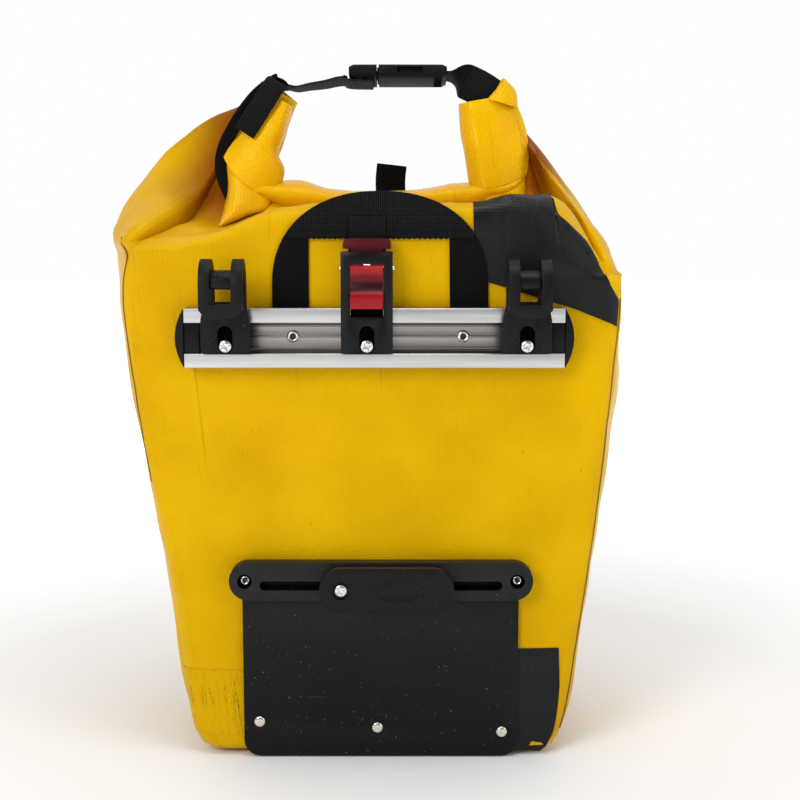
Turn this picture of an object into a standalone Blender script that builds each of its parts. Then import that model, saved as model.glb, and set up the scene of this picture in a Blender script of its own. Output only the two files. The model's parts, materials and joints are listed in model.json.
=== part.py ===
"""Roll-top bicycle pannier bag with its rack fixings, in metres, +Z up.

X runs along the rack rail, -Y faces the bicycle rack and +Y faces the street.
The origin is the middle of the bag's base, on the surface that it stands on.
"""

import math

import bmesh
import bpy
from mathutils import Matrix, Vector

MM = 0.001
GAP = 0.3 * MM

# ---------------------------------------------------------------- bag body
WALL = 2.0 * MM
BACK_Y = -75 * MM
TOP_EDGE_Z = 383 * MM
# Height, half width at the back seam, side bulge, front face and sideways lean of the wall.
WALL_LEVELS = (
    (7, 124, 1, 66, 1.5),
    (16, 129, 2, 72, 1.5),
    (34, 133, 4, 76, 2),
    (80, 139, 7, 81, 2.5),
    (150, 149, 9, 85, 2.5),
    (252, 161, 13, 86, 1),
    (317, 167.5, 14, 82, 0),
    (352, 166, 15, 74, 0),
)
BACK_CORNER_R = 9 * MM
FRONT_CORNER_R = 26 * MM
# The rolled mouth's line, in X and Z, from the left tip to the right tip.
ROLL_LINE = (
    (-69, 463),
    (-82, 440),
    (-91, 415),
    (-84, 396),
    (-56, 389),
    (0, 386),
    (56, 389),
    (84, 396),
    (93, 415),
    (90, 440),
    (86, 461),
)
ROLL_Y = 6 * MM
ROLL_WIDTH = 40 * MM
ROLL_THICKNESS = 13 * MM
RIM_GAP = 3.5 * MM
RIM_HALF_GAP = 7 * MM
# Shares of the way from the middle to a tip where the roll starts and stops its quarter twist.
TWIST_START = 0.34
TWIST_END = 0.62

# ---------------------------------------------------------------- rail
RAIL_Z = 295.5 * MM
RAIL_HALF_HEIGHT = 20 * MM
RAIL_HALF_LENGTH = 127 * MM
RAIL_BACK_Y = -77.6 * MM
RAIL_WEB = 2.0 * MM
RAIL_FRONT_Y = -90 * MM
RAIL_LIP = 2.0 * MM
RAIL_FLANGE = 2.2 * MM
RAIL_MOUTH_HALF = 10.2 * MM
CAP_PLUG = 10.2 * MM
CAP_BULGE = 6 * MM

# ---------------------------------------------------------------- hooks and catch
HOOK_X = {"left": -99 * MM, "right": 101.5 * MM}
FORK_HALF_WIDTH = 14.1 * MM
PRONG_WIDTH = 7.2 * MM
HOOK_BASE_HALF_WIDTH = 16.2 * MM
FIXING_BOTTOM_Z = 285.8 * MM
HOOK_BASE_TOP_Z = 320 * MM
TUBE_Y = -104 * MM
TUBE_Z = 333 * MM
HOOK_INNER_R = 9 * MM
HOOK_OUTER_R = 16 * MM
PRONG_FOOT_Z = 316.5 * MM
HOOK_TIP_Z = 311 * MM
PLATE_BACK_Y = -90.3 * MM
PLATE_FRONT_Y = -95 * MM
RECESS_FLOOR_Y = -93 * MM
RECESS_HALF_WIDTH = 5 * MM
RECESS_TOP_Z = 304.3 * MM
INSERT_OUTER_R = 8.7 * MM
INSERT_INNER_R = 7 * MM
CATCH_X = -5 * MM
CATCH_HALF_WIDTH = 17.2 * MM
CATCH_TOP_Z = 353 * MM
CATCH_WALL_INNER = 12.2 * MM
CATCH_WALL_BACK_Y = -80 * MM
WINDOW_HALF_WIDTH = 11.2 * MM
WINDOW_Z = (310 * MM, 345 * MM)
LEVER_HALF_WIDTH = 10.7 * MM
LEVER_TAB_HALF_WIDTH = 16 * MM
PIN_Y = -85.6 * MM
PIN_Z = 342 * MM
PIN_R = 1.5 * MM
PIN_BOSS_R = 4.3 * MM
SCREW_Z = 290.6 * MM
SCREW_HEAD_R = 4.2 * MM
SHANK_R = 2.0 * MM
HOLE_R = 2.4 * MM
RAIL_RIVETS = {"left": -55 * MM, "center": -5 * MM, "right": 59.5 * MM}
RAIL_RIVET_Z = 296 * MM

# ---------------------------------------------------------------- lower bar, foot and scuff plate
BAR_X = 4 * MM
BAR_Z = 128.5 * MM
BAR_LENGTH = 208 * MM
BAR_HEIGHT = 26.5 * MM
BAR_BACK_Y = -78.5 * MM
BAR_FRONT_Y = -88.5 * MM
BAR_HOLE_SPAN = 186.6 * MM
BAR_SLOT_LENGTH = 166 * MM
BAR_SLOT_HEIGHT = 6.5 * MM
BAR_GROOVE_HEIGHT = 12 * MM
BAR_GROOVE_FLOOR_Y = -85 * MM
FOOT_SCREW_X = -23 * MM
FOOT_SCREW_Z = 125.5 * MM
FOOT_CENTRE = (8 * MM, 125.3 * MM)
FOOT_LENGTH = 91 * MM
FOOT_HEIGHT = 31.5 * MM
FOOT_PLATE_Y = (-101.5 * MM, -97.5 * MM)
FOOT_AXIS_Y = -93 * MM
SCUFF_X = (-92 * MM, 99 * MM)
SCUFF_Z = (0.4 * MM, 122 * MM)
SCUFF_CORNER_R = 11 * MM
SCUFF_Y = (-78.2 * MM, -76.2 * MM)
SCUFF_RIVETS = {"left": (-81, 25.6), "center": (1.2, 21.3), "right": (88, 18.2)}

# ---------------------------------------------------------------- inner board, patches and webbing
BOARD_Y = (-72.7 * MM, -70.7 * MM)
PATCH_Y = (-75.9 * MM, -75.3 * MM)
HANDLE_Y = (-77.3 * MM, -76.2 * MM)
RELEASE_Y = (-78.8 * MM, -77.6 * MM)
STRAP_WIDTH = 25 * MM
STRAP_THICKNESS = 1.6 * MM

# ---------------------------------------------------------------- side-release buckle
BUCKLE_Y = 4 * MM
BUCKLE_Z = 474 * MM
BUCKLE_TILT = math.radians(12)
BUCKLE_HALF_WIDTH = 16.5 * MM
BUCKLE_HALF_THICKNESS = 5.2 * MM
MALE_X = (-19 * MM, 0.5 * MM)
FEMALE_X = (2 * MM, 50 * MM)
ARM_ROOT_X = 0.9 * MM
ARM_ACROSS = 11 * MM


# ================================================================ modelling helpers
def clear_scene():
    for obj in list(bpy.data.objects):
        bpy.data.objects.remove(obj, do_unlink=True)


def material(name, colour, roughness, metallic=0.0):
    made = bpy.data.materials.get(name) or bpy.data.materials.new(name)
    made.use_nodes = True
    shader = made.node_tree.nodes["Principled BSDF"]
    shader.inputs["Base Color"].default_value = (*colour, 1.0)
    shader.inputs["Roughness"].default_value = roughness
    shader.inputs["Metallic"].default_value = metallic
    return made


def yellow_fabric():
    return material("yellow_pvc_fabric", (0.86, 0.56, 0.01), 0.42)


def black_plastic():
    return material("black_plastic", (0.012, 0.012, 0.014), 0.45)


def black_webbing():
    return material("black_webbing", (0.01, 0.01, 0.011), 0.8)


def steel():
    return material("plated_steel", (0.72, 0.72, 0.7), 0.25, 1.0)


def mesh_object(name, bm, mat):
    """Links the bmesh as one object with outward normals, shaded smooth but for its sharp edges."""
    bmesh.ops.remove_doubles(bm, verts=bm.verts, dist=1e-6)
    bmesh.ops.recalc_face_normals(bm, faces=bm.faces)
    mesh = bpy.data.meshes.new(name)
    bm.to_mesh(mesh)
    bm.free()
    mesh.shade_smooth()
    mesh.set_sharp_from_angle(angle=math.radians(35))
    mesh.materials.append(mat)
    obj = bpy.data.objects.new(name, mesh)
    bpy.context.scene.collection.objects.link(obj)
    return obj


def combine(obj, other_bm, operation):
    """Joins or cuts obj with another closed shape and keeps the result as obj's own mesh."""
    other = mesh_object(obj.name + "_tool", other_bm, obj.data.materials[0])
    modifier = obj.modifiers.new("join", "BOOLEAN")
    modifier.operation = operation
    modifier.solver = "EXACT"
    modifier.object = other
    bpy.context.view_layer.update()
    evaluated = obj.evaluated_get(bpy.context.evaluated_depsgraph_get())
    result = bpy.data.meshes.new_from_object(evaluated)
    obj.modifiers.clear()
    result.name = obj.name
    result.shade_smooth()
    result.set_sharp_from_angle(angle=math.radians(35))
    obj.data = result
    bpy.data.objects.remove(other, do_unlink=True)
    return obj


def cut(obj, bm):
    return combine(obj, bm, "DIFFERENCE")


def join(obj, bm):
    return combine(obj, bm, "UNION")


def prism(outline, low, high, axis):
    """Extrudes a closed 2-D outline along axis. The outline's pair is (Y, Z), (X, Z) or (X, Y)."""
    place = {
        "X": lambda a, b, h: (h, a, b),
        "Y": lambda a, b, h: (a, h, b),
        "Z": lambda a, b, h: (a, b, h),
    }[axis]
    bm = bmesh.new()
    lower = [bm.verts.new(place(a, b, low)) for a, b in outline]
    upper = [bm.verts.new(place(a, b, high)) for a, b in outline]
    count = len(outline)
    bm.faces.new(lower)
    bm.faces.new(list(reversed(upper)))
    for i in range(count):
        j = (i + 1) % count
        bm.faces.new((lower[j], lower[i], upper[i], upper[j]))
    bmesh.ops.recalc_face_normals(bm, faces=bm.faces)
    return bm


def box(low, high):
    (x0, y0, z0), (x1, y1, z1) = low, high
    return prism(((x0, y0), (x1, y0), (x1, y1), (x0, y1)), z0, z1, "Z")


def arc(centre, radius, start, end, steps):
    """Points on a circular arc, angles in degrees, both ends included."""
    points = []
    for i in range(steps + 1):
        angle = math.radians(start + (end - start) * i / steps)
        points.append((centre[0] + radius * math.cos(angle), centre[1] + radius * math.sin(angle)))
    return points


def rounded_rectangle(centre, width, height, radius, steps=5):
    half_w, half_h = width / 2 - radius, height / 2 - radius
    points = []
    for sign_x, sign_z, start in ((1, 1, 0), (-1, 1, 90), (-1, -1, 180), (1, -1, 270)):
        corner = (centre[0] + sign_x * half_w, centre[1] + sign_z * half_h)
        points += arc(corner, radius, start, start + 90, steps)
    return points


def turned(profile, x, z, segments=20):
    """Closed solid turned about the line along Y through (x, z). The profile is a list of (y, radius)."""
    bm = bmesh.new()
    rings = []
    for y, radius in profile:
        angles = (math.tau * i / segments for i in range(segments))
        rings.append([bm.verts.new((x + radius * math.cos(a), y, z + radius * math.sin(a))) for a in angles])
    bm.faces.new(rings[0])
    bm.faces.new(list(reversed(rings[-1])))
    for first, second in zip(rings, rings[1:]):
        for i in range(segments):
            j = (i + 1) % segments
            bm.faces.new((first[j], first[i], second[i], second[j]))
    bmesh.ops.recalc_face_normals(bm, faces=bm.faces)
    return bm


def hole(x, z, radius, y0, y1, segments=16):
    return turned(((y0, radius), (y1, radius)), x, z, segments)


def washer(name, x, z, inner, outer, y0, y1, mat):
    ring = mesh_object(name, turned(((y0, outer), (y1, outer)), x, z), mat)
    return cut(ring, hole(x, z, inner, y0 - 1 * MM, y1 + 1 * MM))


def smooth_path(points, steps):
    """Catmull-Rom curve through the points, with this many steps between two of them."""
    padded = [points[0], *points, points[-1]]
    made = []
    for i in range(len(points) - 1):
        a, b, c, d = (Vector(p) for p in padded[i : i + 4])
        for k in range(steps):
            t = k / steps
            squared = (2 * a - 5 * b + 4 * c - d) * t * t
            cubed = (3 * b - a - 3 * c + d) * t ** 3
            made.append(0.5 * (2 * b + (c - a) * t + squared + cubed))
    made.append(Vector(points[-1]))
    return made


def at_share(path, share):
    """Point at a share from 0 to 1 of an evenly stepped path."""
    place = max(0.0, min(1.0, share)) * (len(path) - 1)
    i = min(int(place), len(path) - 2)
    return path[i].lerp(path[i + 1], place - i)


def ribbon(path, sides, width, thickness):
    """Flat strap along a path. sides holds its width direction at each point."""
    bm = bmesh.new()
    rings = []
    for i, (point, side) in enumerate(zip(path, sides)):
        ahead = path[min(i + 1, len(path) - 1)] - path[max(i - 1, 0)]
        side = (side - ahead.normalized() * side.dot(ahead.normalized())).normalized()
        up = ahead.cross(side).normalized()
        half_w, half_t = side * width / 2, up * thickness / 2
        corners = (half_w + half_t, half_t - half_w, -half_w - half_t, half_w - half_t)
        rings.append([bm.verts.new(point + c) for c in corners])
    bm.faces.new(rings[0])
    bm.faces.new(list(reversed(rings[-1])))
    for first, second in zip(rings, rings[1:]):
        for i in range(4):
            j = (i + 1) % 4
            bm.faces.new((first[j], first[i], second[i], second[j]))
    return bm


# ================================================================ bag body
def wall_numbers(z):
    """Half width, side bulge, front face and lean of the wall at a height, in metres."""
    levels = [tuple(v * MM for v in level) for level in WALL_LEVELS]
    z = max(levels[0][0], min(levels[-1][0], z))
    for low, high in zip(levels, levels[1:]):
        if z <= high[0]:
            share = (z - low[0]) / (high[0] - low[0])
            return [a + (b - a) * share for a, b in zip(low[1:], high[1:])]
    return list(levels[-1][1:])


def wall_ring(z):
    """The wall's outline at one height, as {group: [points]}, clockwise from the back's left end."""
    half, bulge, front, lean = wall_numbers(z)
    depth = front - BACK_Y
    front_half = half - 3 * MM

    def side(sign):
        points = []
        for a, b in arc((half - BACK_CORNER_R, BACK_Y + BACK_CORNER_R), BACK_CORNER_R, -90, 0, 3):
            points.append((a, b))
        side_start = BACK_Y + BACK_CORNER_R
        side_end = front - FRONT_CORNER_R
        for i in range(1, 6):
            share = i / 6
            y = side_start + (side_end - side_start) * share
            x = half + (front_half - half) * share + bulge * math.sin(math.pi * share)
            points.append((x, y))
        for a, b in arc((front_half - FRONT_CORNER_R, side_end), FRONT_CORNER_R, 0, 90, 4):
            points.append((a, b))
        return [Vector((sign * x + lean, y, z)) for x, y in points]

    right = side(1)
    left = list(reversed(side(-1)))
    back_half = half - BACK_CORNER_R
    front_edge = front_half - FRONT_CORNER_R
    back = [Vector((lean + back_half * (i / 6 - 1), BACK_Y, z)) for i in range(1, 12)]
    front_points = []
    for i in range(1, 12):
        share = 1 - i / 6
        crown = 0.05 * depth * (1 - share * share)
        front_points.append(Vector((lean + front_edge * share, front + crown, z)))
    return {"back": back, "right": right, "front": front_points, "left": left}


def roll_path():
    points = [Vector((x * MM, ROLL_Y, z * MM)) for x, z in ROLL_LINE]
    return smooth_path(points, 6)


def twist_at(along):
    """Quarter turn of the roll, in radians, at a share from -1 to 1 along it."""
    share = (abs(along) - TWIST_START) / (TWIST_END - TWIST_START)
    share = max(0.0, min(1.0, share))
    return math.pi / 2 * share * share * (3 - 2 * share)


def roll_frame(path, along):
    """Point on the roll's line, its direction, and the outward normal in the XZ plane."""
    share = 0.5 + 0.5 * along
    ahead = (at_share(path, share + 0.03) - at_share(path, share - 0.03)).normalized()
    return at_share(path, share), ahead, Vector((ahead.z, 0, -ahead.x)).normalized()


def rim_ring(ring):
    """Partner of each wall point on the bag's mouth, just outside the roll."""
    path = roll_path()

    def rim(along, across):
        point, _, outward = roll_frame(path, along)
        twist = twist_at(along)
        reach = ROLL_WIDTH / 2 * math.sin(twist) + ROLL_THICKNESS / 2 * math.cos(twist)
        return point + outward * (reach + RIM_GAP) + Vector((0, across * RIM_HALF_GAP, 0))

    made = {}
    for group, points in ring.items():
        count = len(points)
        made[group] = []
        for i in range(count):
            share = (i + 1) / (count + 1)
            if group == "back":
                made[group].append(rim(0.9 * (2 * share - 1), -1))
            elif group == "front":
                made[group].append(rim(0.9 * (1 - 2 * share), 1))
            else:
                turn = math.pi * share
                sign, across = (1, -math.cos(turn)) if group == "right" else (-1, math.cos(turn))
                made[group].append(rim(sign * (0.9 + 0.1 * math.sin(turn)), across))
    return made


def shoulder_ring(ring, rim, share):
    """Between the top of the wall and the rim: share 0 to 1, raised so that the cloth arches over."""
    made = {}
    for group, points in ring.items():
        made[group] = []
        for low, high in zip(points, rim[group]):
            drawn = share ** 1.35
            rise = share ** 0.7
            point = Vector((low.x + (high.x - low.x) * drawn, low.y + (high.y - low.y) * drawn, 0))
            crest = TOP_EDGE_Z - low.z
            edge = 4 * share * (1 - share)
            flat = max(0.0, 1 - abs(low.x) / (150 * MM)) ** 0.5
            point.z = low.z + (high.z - low.z) * rise + edge * crest * 0.42 * flat
            made[group].append(point)
    return made


def offset_inwards(rings, distance):
    """Same rings moved in along the surface's normal, for the wall's inner skin."""
    made = []
    count = len(rings[0])
    for level, ring in enumerate(rings):
        below = rings[max(level - 1, 0)]
        above = rings[min(level + 1, len(rings) - 1)]
        inner = []
        for i in range(count):
            along = ring[(i + 1) % count] - ring[i - 1]
            up = above[i] - below[i]
            normal = along.cross(up).normalized()
            inner.append(ring[i] - normal * distance)
        made.append(inner)
    return made


def sheet_panel(name, outer, inner, columns, levels):
    """One welded sheet: the closed solid between both skins over a span of columns and levels."""
    count = len(outer[0])
    half_gap = GAP / 2

    def drawn(skin, row, column):
        """Point of a skin, moved half a gap into the sheet where it lies on a cut edge."""
        point = skin[row][column % count].copy()
        inwards = []
        if column == columns[0]:
            inwards.append(skin[row][(column + 1) % count])
        if column == columns[-1]:
            inwards.append(skin[row][(column - 1) % count])
        if row == levels[0]:
            inwards.append(skin[row + 1][column % count])
        if row == levels[-1] and row + 1 < len(skin):
            inwards.append(skin[row - 1][column % count])
        for target in inwards:
            point += (target - skin[row][column % count]).normalized() * half_gap
        return point

    bm = bmesh.new()
    grids = []
    for skin in (outer, inner):
        grids.append([[bm.verts.new(drawn(skin, row, column)) for column in columns] for row in levels])
    for grid in grids:
        for low, high in zip(grid, grid[1:]):
            for i in range(len(columns) - 1):
                bm.faces.new((low[i], low[i + 1], high[i + 1], high[i]))
    borders = []
    for grid in grids:
        right_side = [row[-1] for row in grid[1:-1]]
        left_side = [row[0] for row in grid[1:-1]]
        borders.append(grid[0] + right_side + grid[-1][::-1] + left_side[::-1])
    for i in range(len(borders[0])):
        j = (i + 1) % len(borders[0])
        bm.faces.new((borders[0][i], borders[0][j], borders[1][j], borders[1][i]))
    return mesh_object(name, bm, yellow_fabric())


def base_panel(outer, inner):
    """The bag's floor: a shallow dish whose flat middle stands on the ground."""
    bm = bmesh.new()
    skins = []
    for ring, lowest in ((outer[0], 0.0), (inner[0], WALL)):
        edge = [Vector((p.x, p.y, p.z - GAP)) for p in ring]
        centre = sum(edge, Vector()) / len(edge)
        rings = [[bm.verts.new(p) for p in edge]]
        for share, height in ((0.82, lowest + 0.7 * MM), (0.45, lowest)):
            points = [centre.lerp(p, share) for p in edge]
            rings.append([bm.verts.new((p.x, p.y, height)) for p in points])
        skins.append(rings)
    count = len(outer[0])
    pairs = [(skins[0][0], skins[1][0])]
    for rings in skins:
        pairs += list(zip(rings, rings[1:]))
        bm.faces.new(rings[-1])
    for first, second in pairs:
        for i in range(count):
            j = (i + 1) % count
            bm.faces.new((first[i], first[j], second[j], second[i]))
    mesh_object("base_panel", bm, yellow_fabric())


def wall_and_shoulder_rings():
    """Outline rings from the base to the narrow mouth under the roll, and the index of the wall's last."""
    heights = [level[0] * MM for level in WALL_LEVELS]
    heights = heights[:4] + [115 * MM] + heights[4:5] + [200 * MM] + heights[5:]
    groups = ("back", "right", "front", "left")
    rings = [[p for g in groups for p in wall_ring(z)[g]] for z in heights]
    top = wall_ring(heights[-1])
    rim = rim_ring(top)
    for share in (0.18, 0.38, 0.6, 0.8, 1.0):
        ring = shoulder_ring(top, rim, share)
        rings.append([p for g in groups for p in ring[g]])
    return rings, len(heights) - 1


def bag_panels():
    """The fabric body, cut where its sheets are welded: hollow, with its mouth open under the roll."""
    rings, wall_top = wall_and_shoulder_rings()
    inner = offset_inwards(rings, WALL)
    count = len(rings[0])
    sizes = {group: len(points) for group, points in wall_ring(100 * MM).items()}
    # The corner weld is in the middle of each back corner, and the front weld on each front corner.
    right_weld = sizes["back"] + 1
    right_front = sizes["back"] + sizes["right"] - 3
    left_front = sizes["back"] + sizes["right"] + sizes["front"] + 2
    left_weld = count - 2
    wall = range(wall_top + 1)
    base_panel(rings, inner)
    back = sheet_panel("back_panel", rings, inner, range(left_weld - count, right_weld + 1), wall)
    sheet_panel("side_panel_right", rings, inner, range(right_weld, right_front + 1), wall)
    sheet_panel("front_panel", rings, inner, range(right_front, left_front + 1), wall)
    sheet_panel("side_panel_left", rings, inner, range(left_front, left_weld + 1), wall)
    middle_right = (right_weld + right_front) // 2
    middle_left = (left_front + left_weld) // 2
    shoulder = range(wall_top, len(rings))
    sheet_panel("shoulder_back", rings, inner, range(middle_left - count, middle_right + 1), shoulder)
    sheet_panel("shoulder_front", rings, inner, range(middle_right, middle_left + 1), shoulder)
    high, low = shell_rivets()
    for x, z in high + low:
        cut(back, hole(x, z, HOLE_R, BACK_Y - 3 * MM, BACK_Y + 4 * MM, 12))


def shell_rivets():
    """Centres, in X and Z, of the rivets that pass through the back wall."""
    rail_spots = [(x, RAIL_RIVET_Z) for x in RAIL_RIVETS.values()]
    bar_spots = [(x, BAR_Z) for x in bar_rivets().values()]
    scuff_spots = [(x * MM, z * MM) for x, z in SCUFF_RIVETS.values()]
    return rail_spots + bar_spots, scuff_spots


def bar_rivets():
    return {"left": BAR_X - BAR_HOLE_SPAN / 2, "right": BAR_X + BAR_HOLE_SPAN / 2}


def rolled_collar():
    """The mouth, flattened and rolled down, then bent up at both ends to the closing strap."""
    path = roll_path()
    bm = bmesh.new()
    rings = []
    steps = 36
    for i in range(steps + 1):
        along = 2 * i / steps - 1
        point, ahead, outward = roll_frame(path, along)
        twist = twist_at(along)
        side = Vector((0, 1, 0)) * math.cos(twist) - outward * math.sin(twist)
        thick = ahead.cross(side).normalized()
        ring = []
        for k in range(14):
            angle = math.tau * k / 14
            a = math.copysign(abs(math.cos(angle)) ** 0.75, math.cos(angle)) * ROLL_WIDTH / 2
            b = math.copysign(abs(math.sin(angle)) ** 0.75, math.sin(angle)) * ROLL_THICKNESS / 2
            ring.append(bm.verts.new(point + side * a + thick * b))
        rings.append(ring)
    bm.faces.new(rings[0])
    bm.faces.new(list(reversed(rings[-1])))
    for first, second in zip(rings, rings[1:]):
        for i in range(14):
            j = (i + 1) % 14
            bm.faces.new((first[j], first[i], second[i], second[j]))
    mesh_object("rolled_collar", bm, yellow_fabric())


def stiffener_strip():
    """Black edging of the mouth, which shows beside the left end of the roll."""
    path = roll_path()
    points, sides = [], []
    for i in range(9):
        along = -0.66 - 0.32 * i / 8
        point, _, outward = roll_frame(path, along)
        points.append(point + outward * 12 * MM + Vector((0, ROLL_THICKNESS / 2 + 1.2 * MM, 0)))
        sides.append(outward)
    bm = ribbon(points, sides, 17 * MM, 1.2 * MM)
    mesh_object("stiffener_strip", bm, black_webbing())


def webbing_tab():
    """Ribbed tab sewn on the face of the roll's left end."""
    outline = [(-77, 469), (-94, 437), (-81, 430), (-60, 460)]
    bm = prism([(x * MM, z * MM) for x, z in outline], -2.4 * MM, -1.2 * MM, "Y")
    mesh_object("webbing_tab", bm, black_webbing())


def back_board():
    outline = [(-104, 34), (108, 34), (122, 130), (138, 232), (143, 338)]
    outline += [(-143, 338), (-134, 232), (-117, 130)]
    grey = material("board_plastic", (0.1, 0.1, 0.1), 0.6)
    board = mesh_object("back_board", prism([(x * MM, z * MM) for x, z in outline], *BOARD_Y, "Y"), grey)
    for x, z in shell_rivets()[0]:
        cut(board, hole(x, z, HOLE_R, BOARD_Y[0] - MM, BOARD_Y[1] + MM, 12))


def patches():
    black = material("black_pvc_fabric", (0.015, 0.016, 0.018), 0.35)
    outlines = {
        "patch_top": [(65, 352), (65, 328), (76, 328), (158, 300), (158, 322), (150, 340), (146, 352)],
        "patch_bottom_right": [(80, 13), (118, 13), (124, 20), (124, 73), (80, 73)],
    }
    for name, outline in outlines.items():
        patch = mesh_object(name, prism([(x * MM, z * MM) for x, z in outline], *PATCH_Y, "Y"), black)
        for x, z in shell_rivets()[1]:
            if min(p[0] for p in outline) * MM < x < max(p[0] for p in outline) * MM:
                cut(patch, hole(x, z, HOLE_R, PATCH_Y[0] - MM, PATCH_Y[1] + MM, 12))


def arch(centre_x, half_width, base_z, spring_z, top_z, steps):
    """Outline of an arch in X and Z: straight legs up to spring_z, then half a superellipse."""
    points = [(centre_x + half_width, base_z)]
    for i in range(steps + 1):
        angle = math.pi * i / steps
        a = math.copysign(abs(math.cos(angle)) ** 0.9, math.cos(angle))
        b = abs(math.sin(angle)) ** 0.9
        points.append((centre_x + half_width * a, spring_z + (top_z - spring_z) * b))
    points.append((centre_x - half_width, base_z))
    return points


def carry_handle():
    outside = arch(3.7 * MM, 72.7 * MM, 306 * MM, 330 * MM, 393 * MM, 20)
    handle = mesh_object("carry_handle", prism(outside, *HANDLE_Y, "Y"), black_webbing())
    cut(handle, box((-44 * MM, HANDLE_Y[0] - MM, 300 * MM), (50 * MM, HANDLE_Y[1] + MM, 361 * MM)))


def release_strap():
    low = (CATCH_X - STRAP_WIDTH / 2, RELEASE_Y[0], 344 * MM)
    high = (CATCH_X + STRAP_WIDTH / 2, RELEASE_Y[1], 376 * MM)
    mesh_object("release_strap", box(low, high), black_webbing())


# ================================================================ rail and its rivets
def rail():
    top, bottom = RAIL_Z + RAIL_HALF_HEIGHT, RAIL_Z - RAIL_HALF_HEIGHT
    lip_back, web_front = RAIL_FRONT_Y + RAIL_LIP, RAIL_BACK_Y - RAIL_WEB
    mouth_top, mouth_bottom = RAIL_Z + RAIL_MOUTH_HALF, RAIL_Z - RAIL_MOUTH_HALF
    outline = [
        (RAIL_BACK_Y, bottom),
        (RAIL_FRONT_Y, bottom),
        (RAIL_FRONT_Y, mouth_bottom),
        (lip_back, mouth_bottom),
        (lip_back, bottom + RAIL_FLANGE),
        (web_front, bottom + RAIL_FLANGE),
        (web_front, top - RAIL_FLANGE),
        (lip_back, top - RAIL_FLANGE),
        (lip_back, mouth_top),
        (RAIL_FRONT_Y, mouth_top),
        (RAIL_FRONT_Y, top),
        (RAIL_BACK_Y, top),
    ]
    metal = material("extruded_aluminium", (0.78, 0.78, 0.77), 0.3, 1.0)
    made = mesh_object("rail", prism(outline, -RAIL_HALF_LENGTH, RAIL_HALF_LENGTH, "X"), metal)
    for x in RAIL_RIVETS.values():
        cut(made, hole(x, RAIL_RIVET_Z, HOLE_R, RAIL_BACK_Y - RAIL_WEB - MM, RAIL_BACK_Y + MM, 12))


def rail_caps():
    for name, sign in (("left", -1), ("right", 1)):
        inner = RAIL_HALF_LENGTH + GAP
        outline = []
        for i in range(9):
            share = i / 4 - 1
            bulge = CAP_BULGE * (1 - share * share)
            outline.append((sign * (inner + bulge), RAIL_Z + share * RAIL_HALF_HEIGHT))
        cap = mesh_object(f"rail_cap_{name}", prism(outline, RAIL_FRONT_Y, RAIL_BACK_Y, "Y"), black_plastic())
        ends = sorted((sign * (RAIL_HALF_LENGTH - CAP_PLUG), sign * (inner + MM)))
        half = RAIL_HALF_HEIGHT - RAIL_FLANGE - GAP
        low = (ends[0], RAIL_FRONT_Y + RAIL_LIP + GAP, RAIL_Z - half)
        high = (ends[1], RAIL_BACK_Y - RAIL_WEB - GAP, RAIL_Z + half)
        join(cap, box(low, high))


def rivet(name, x, z, head_y, head_r, head_height, tail_y):
    """Domed head towards -Y, a shank, and a set tail behind the inner washer."""
    profile = [
        (head_y - head_height, head_r * 0.45),
        (head_y - head_height * 0.75, head_r * 0.8),
        (head_y - head_height * 0.3, head_r),
        (head_y, head_r),
        (head_y, SHANK_R),
        (tail_y, SHANK_R),
        (tail_y, 3.2 * MM),
        (tail_y + 1 * MM, 3 * MM),
    ]
    mesh_object(name, turned(profile, x, z, 14), steel())


def rivets():
    inside = BOARD_Y[1] + GAP
    for name, x in RAIL_RIVETS.items():
        head_y = RAIL_BACK_Y - RAIL_WEB - GAP
        rivet(f"rail_rivet_{name}", x, RAIL_RIVET_Z, head_y, 4 * MM, 1.8 * MM, inside + 1.1 * MM)
        washer(f"rail_washer_{name}", x, RAIL_RIVET_Z, HOLE_R, 6 * MM, inside, inside + 0.8 * MM, steel())
    for name, x in bar_rivets().items():
        rivet(f"bar_rivet_{name}", x, BAR_Z, -83.8 * MM, 3.4 * MM, 1.6 * MM, inside + 1.1 * MM)
        washer(f"bar_washer_{name}", x, BAR_Z, HOLE_R, 6 * MM, inside, inside + 0.8 * MM, steel())
    inside = BACK_Y + WALL + GAP
    for name, (x, z) in SCUFF_RIVETS.items():
        rivet(f"scuff_rivet_{name}", x * MM, z * MM, SCUFF_Y[0] - GAP, 4 * MM, 1.8 * MM, inside + 1.1 * MM)
        washer(f"scuff_washer_{name}", x * MM, z * MM, HOLE_R, 6 * MM, inside, inside + 0.8 * MM, steel())


# ================================================================ rack hooks
def fixing_recess(obj, x):
    """Round-ended recess for the clamping screw's head, and the screw's hole."""
    bottom = SCREW_Z - SCREW_HEAD_R - 0.6 * MM
    width = 2 * RECESS_HALF_WIDTH
    height = RECESS_TOP_Z - bottom
    outline = rounded_rectangle((x, bottom + height / 2), width, height, RECESS_HALF_WIDTH - 0.1 * MM, 4)
    cut(obj, prism(outline, PLATE_FRONT_Y - MM, RECESS_FLOOR_Y, "Y"))
    cut(obj, hole(x, SCREW_Z, HOLE_R, PLATE_FRONT_Y - MM, -80 * MM, 12))


def clamp_screw(name, x, z, head_back, head_height, tip_y):
    profile = [
        (head_back - head_height, SCREW_HEAD_R * 0.6),
        (head_back - head_height * 0.8, SCREW_HEAD_R * 0.9),
        (head_back - head_height * 0.4, SCREW_HEAD_R),
        (head_back, SCREW_HEAD_R),
        (head_back, SHANK_R),
        (tip_y, SHANK_R),
    ]
    mesh_object(name, turned(profile, x, z, 16), steel())


def clamp_nut(name, x, z, screw_z, half_length, half_height, y0, y1):
    low = (x - half_length, y0, z - half_height)
    nut = mesh_object(name, box(low, (x + half_length, y1, z + half_height)), steel())
    cut(nut, hole(x, screw_z, SHANK_R + GAP, y0 - MM, y1 + MM, 12))


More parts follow.
